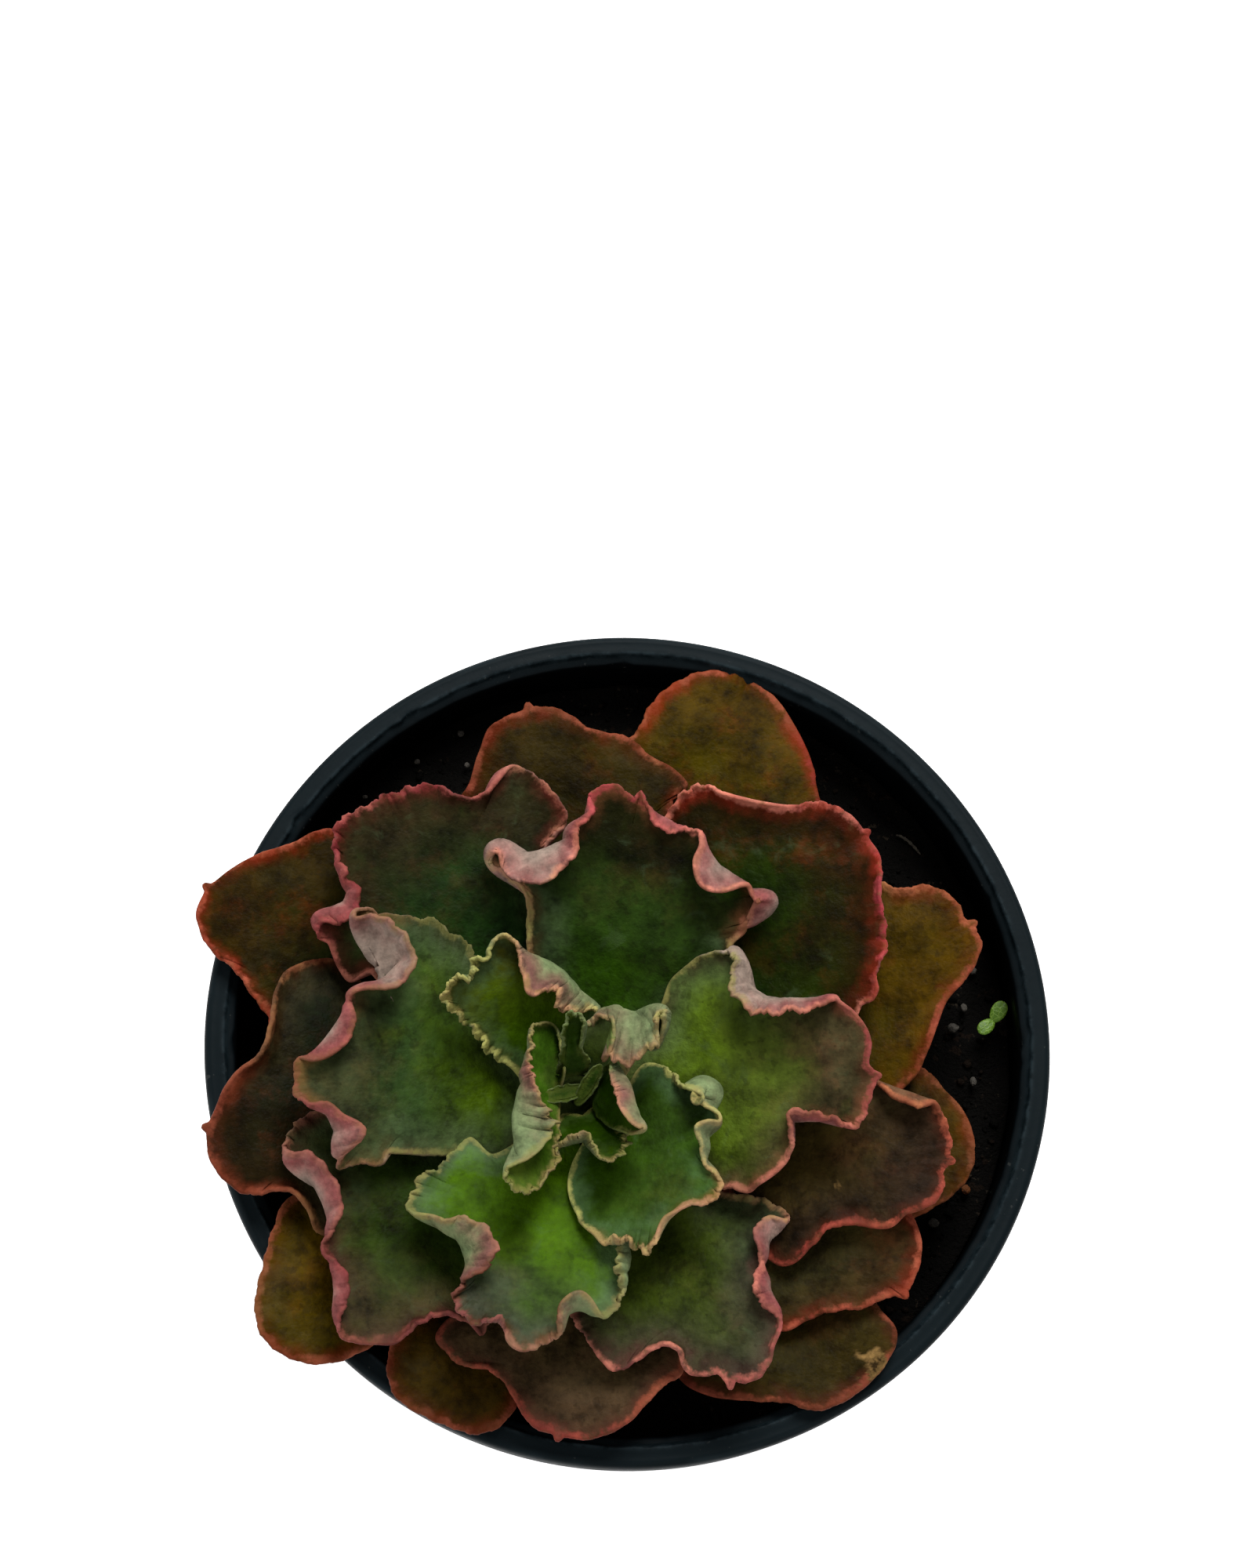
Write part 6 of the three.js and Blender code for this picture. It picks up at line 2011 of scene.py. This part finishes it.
@dataclass(frozen=True)
class SeedlingFinish:
    """Fresh yellow-green, a little darker between the veins."""

    leaf: str = "#4a6a18"
    vein: str = "#7c9a3c"

    def material(self, effects: Effects) -> Material:
        """The seedling's material.

        Args:
            effects: the shared effects.

        Returns:
            The material.
        """
        making = Finish("seedling_green", Gloss(specular=0.3, relief=0.3, relief_depth=0.0002))
        g = making.graph
        base = making.mottled(effects, self.leaf, 500.0, 2500.0, 0.4)
        cells = g.add("TexVoronoi", {"Vector": making.place, "Scale": 1100.0}, feature="DISTANCE_TO_EDGE")
        veins = g.rest(g.step(cells.outputs[0], 0.02, 0.12))
        colour = g.mix(g.times(veins, 0.45), base["Colour"], self.vein)
        return making.done(colour, g.times_plus(base["Cloud"], 0.15, 0.4), veins)


# ---- studio

@dataclass(frozen=True)
class Lamp:
    """A large soft light: its direction and height above the horizon, distance, size and power."""

    name: str
    direction: float
    elevation: float
    distance: float
    size: float
    power: float
    colour: tuple[float, float, float] = (1.0, 1.0, 1.0)


@dataclass
class Studio:
    """A pale floor, soft lamps and a camera that looks down on the pot from the front."""

    camera_place: tuple[float, float, float] = (-0.024607, -0.110978, 0.617951)
    camera_tilt: float = 0.300133
    camera_roll: float = -0.0462297
    lens: float = 66.76
    sensor: float = 36.0
    floor_size: float = 6.0
    floor_glow: float = 0.7
    ambient: float = 0.3
    lamps: tuple[Lamp, ...] = (
        Lamp("key_lamp", 75.0, 50.0, 1.3, 0.7, 21.0),
        Lamp("left_lamp", 190.0, 35.0, 1.4, 0.9, 6.0),
        Lamp("front_lamp", 300.0, 38.0, 1.6, 0.9, 5.0),
    )

    def make_camera(self) -> None:
        """The camera: tipped about X, then rolled about its own Y, with no shift."""
        data = bpy.data.cameras.new("camera")
        data.lens = self.lens
        data.sensor_width = self.sensor
        data.clip_start = 0.01
        camera = bpy.data.objects.new("camera", data)
        turn = Matrix.Rotation(self.camera_tilt, 4, "X") @ Matrix.Rotation(self.camera_roll, 4, "Y")
        camera.matrix_world = Matrix.Translation(self.camera_place) @ turn
        bpy.context.scene.collection.objects.link(camera)
        bpy.context.scene.camera = camera

    def make_floor(self) -> None:
        """A plain pale floor under the pot."""
        half = self.floor_size / 2.0
        mesh = bpy.data.meshes.new("floor")
        corners = [(-half, -half, 0), (half, -half, 0), (half, half, 0), (-half, half, 0)]
        mesh.from_pydata(corners, [], [(0, 1, 2, 3)])
        floor = bpy.data.objects.new("floor", mesh)
        bpy.context.scene.collection.objects.link(floor)
        material = bpy.data.materials.new("pale_floor")
        material.use_nodes = True
        shader = next(n for n in material.node_tree.nodes if n.type == "BSDF_PRINCIPLED")
        shader.inputs["Base Color"].default_value = (0.9, 0.9, 0.9, 1.0)
        shader.inputs["Roughness"].default_value = 0.95
        shader.inputs["Specular IOR Level"].default_value = 0.0
        shader.inputs["Emission Color"].default_value = (1.0, 1.0, 1.0, 1.0)
        shader.inputs["Emission Strength"].default_value = self.floor_glow
        mesh.materials.append(material)

    def make_lights(self) -> None:
        """An even ambient light and the lamps, all aimed at the rosette."""
        world = bpy.data.worlds.new("studio")
        world.use_nodes = True
        world.node_tree.nodes["Background"].inputs["Color"].default_value = (1.0, 1.0, 1.0, 1.0)
        world.node_tree.nodes["Background"].inputs["Strength"].default_value = self.ambient
        bpy.context.scene.world = world
        aim = Vector((0.0, 0.0, 0.1))
        for lamp in self.lamps:
            data = bpy.data.lights.new(lamp.name, "AREA")
            data.shape = "DISK"
            data.size = lamp.size
            data.energy = lamp.power
            data.color = lamp.colour
            turn, rise = np.radians(lamp.direction), np.radians(lamp.elevation)
            way = Vector((np.cos(rise) * np.cos(turn), np.cos(rise) * np.sin(turn), np.sin(rise)))
            light = bpy.data.objects.new(lamp.name, data)
            facing = way.to_track_quat("Z", "Y").to_matrix().to_4x4()
            light.matrix_world = Matrix.Translation(aim + way * lamp.distance) @ facing
            bpy.context.scene.collection.objects.link(light)

    def make(self) -> None:
        """Sets up the floor, lights, camera and a plain view of the colours."""
        self.make_camera()
        self.make_floor()
        self.make_lights()
        bpy.context.scene.view_settings.view_transform = "Standard"
        LOG.info("studio: floor, %d lamps and camera", len(self.lamps))


# ---- the whole plant

GRIT_SEED = 80
BARK_SEED = 95
SEEDLING_PLACE = (67.2, 4.2)
FIBRE_RADIUS = 0.3
FIBRE_REST = 0.75  # height of the fibre's middle over the mix
FIBRE_PATH = ((51.2, 40.8), (52.2, 40.5), (53.6, 39.6), (55.0, 38.2), (55.9, 37.0))


def main() -> None:
    """Builds the pot, the mix, the stem, the leaves and the small things, then the studio."""
    logging.basicConfig(level=logging.INFO, format="%(message)s")
    effects = Effects()
    pot_high = np.array(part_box("pot")[1]) / MM
    stem_low, stem_high = (np.array(corner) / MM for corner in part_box("stem"))
    stem_x, stem_y = (stem_low[:2] + stem_high[:2]) / 2.0

    pot = Pot(height=pot_high[2], rim_radius=pot_high[0])
    pot.make(PotPlastic().material(effects))
    mix = PottingMix(pot, stem_x, stem_y)
    mix.make_bed(MixFinish().material("potting_mix", effects, 0.3))
    mix.make_lumps(MixFinish().material("potting_mix_lumps", effects, 0.6))
    Stem(stem_x, stem_y, pot.height).make(StemFinish().material(effects))

    dresser = LeafDresser(effects)
    for shape in LEAVES:
        Leaf(shape, (stem_x, stem_y, pot.height)).make(dresser.material(shape))

    litter = Litter(effects)
    for i, node in enumerate(litter.grit):
        stone = litter.stone(f"grit_stone_{i + 1}", i, "#3e3a34", "#1c1913")
        litter.make_lump(node, f"grit_grain_{i + 1}", "grit", GRIT_SEED + i, stone)
    bark = litter.stone("bark_brown", 3, "#5a300e", "#241206")
    litter.make_lump("bark_crumb", "bark_chip", "bark", BARK_SEED, bark)
    x, y = np.array(FIBRE_PATH).T
    path = np.stack([x, y, mix.level(x, y) + FIBRE_REST + 0.25 * np.sin(np.arange(len(x)))], axis=-1)
    litter.make_fibre(path, FIBRE_RADIUS, litter.stone("dry_fibre", 2, "#3c372e", "#221e17"))

    ground = float(mix.level(*np.array(SEEDLING_PLACE))) + mix.gap
    Seedling(*SEEDLING_PLACE, ground).make(SeedlingFinish().material(effects))

    Studio().make()


if __name__ == "__main__":
    main()
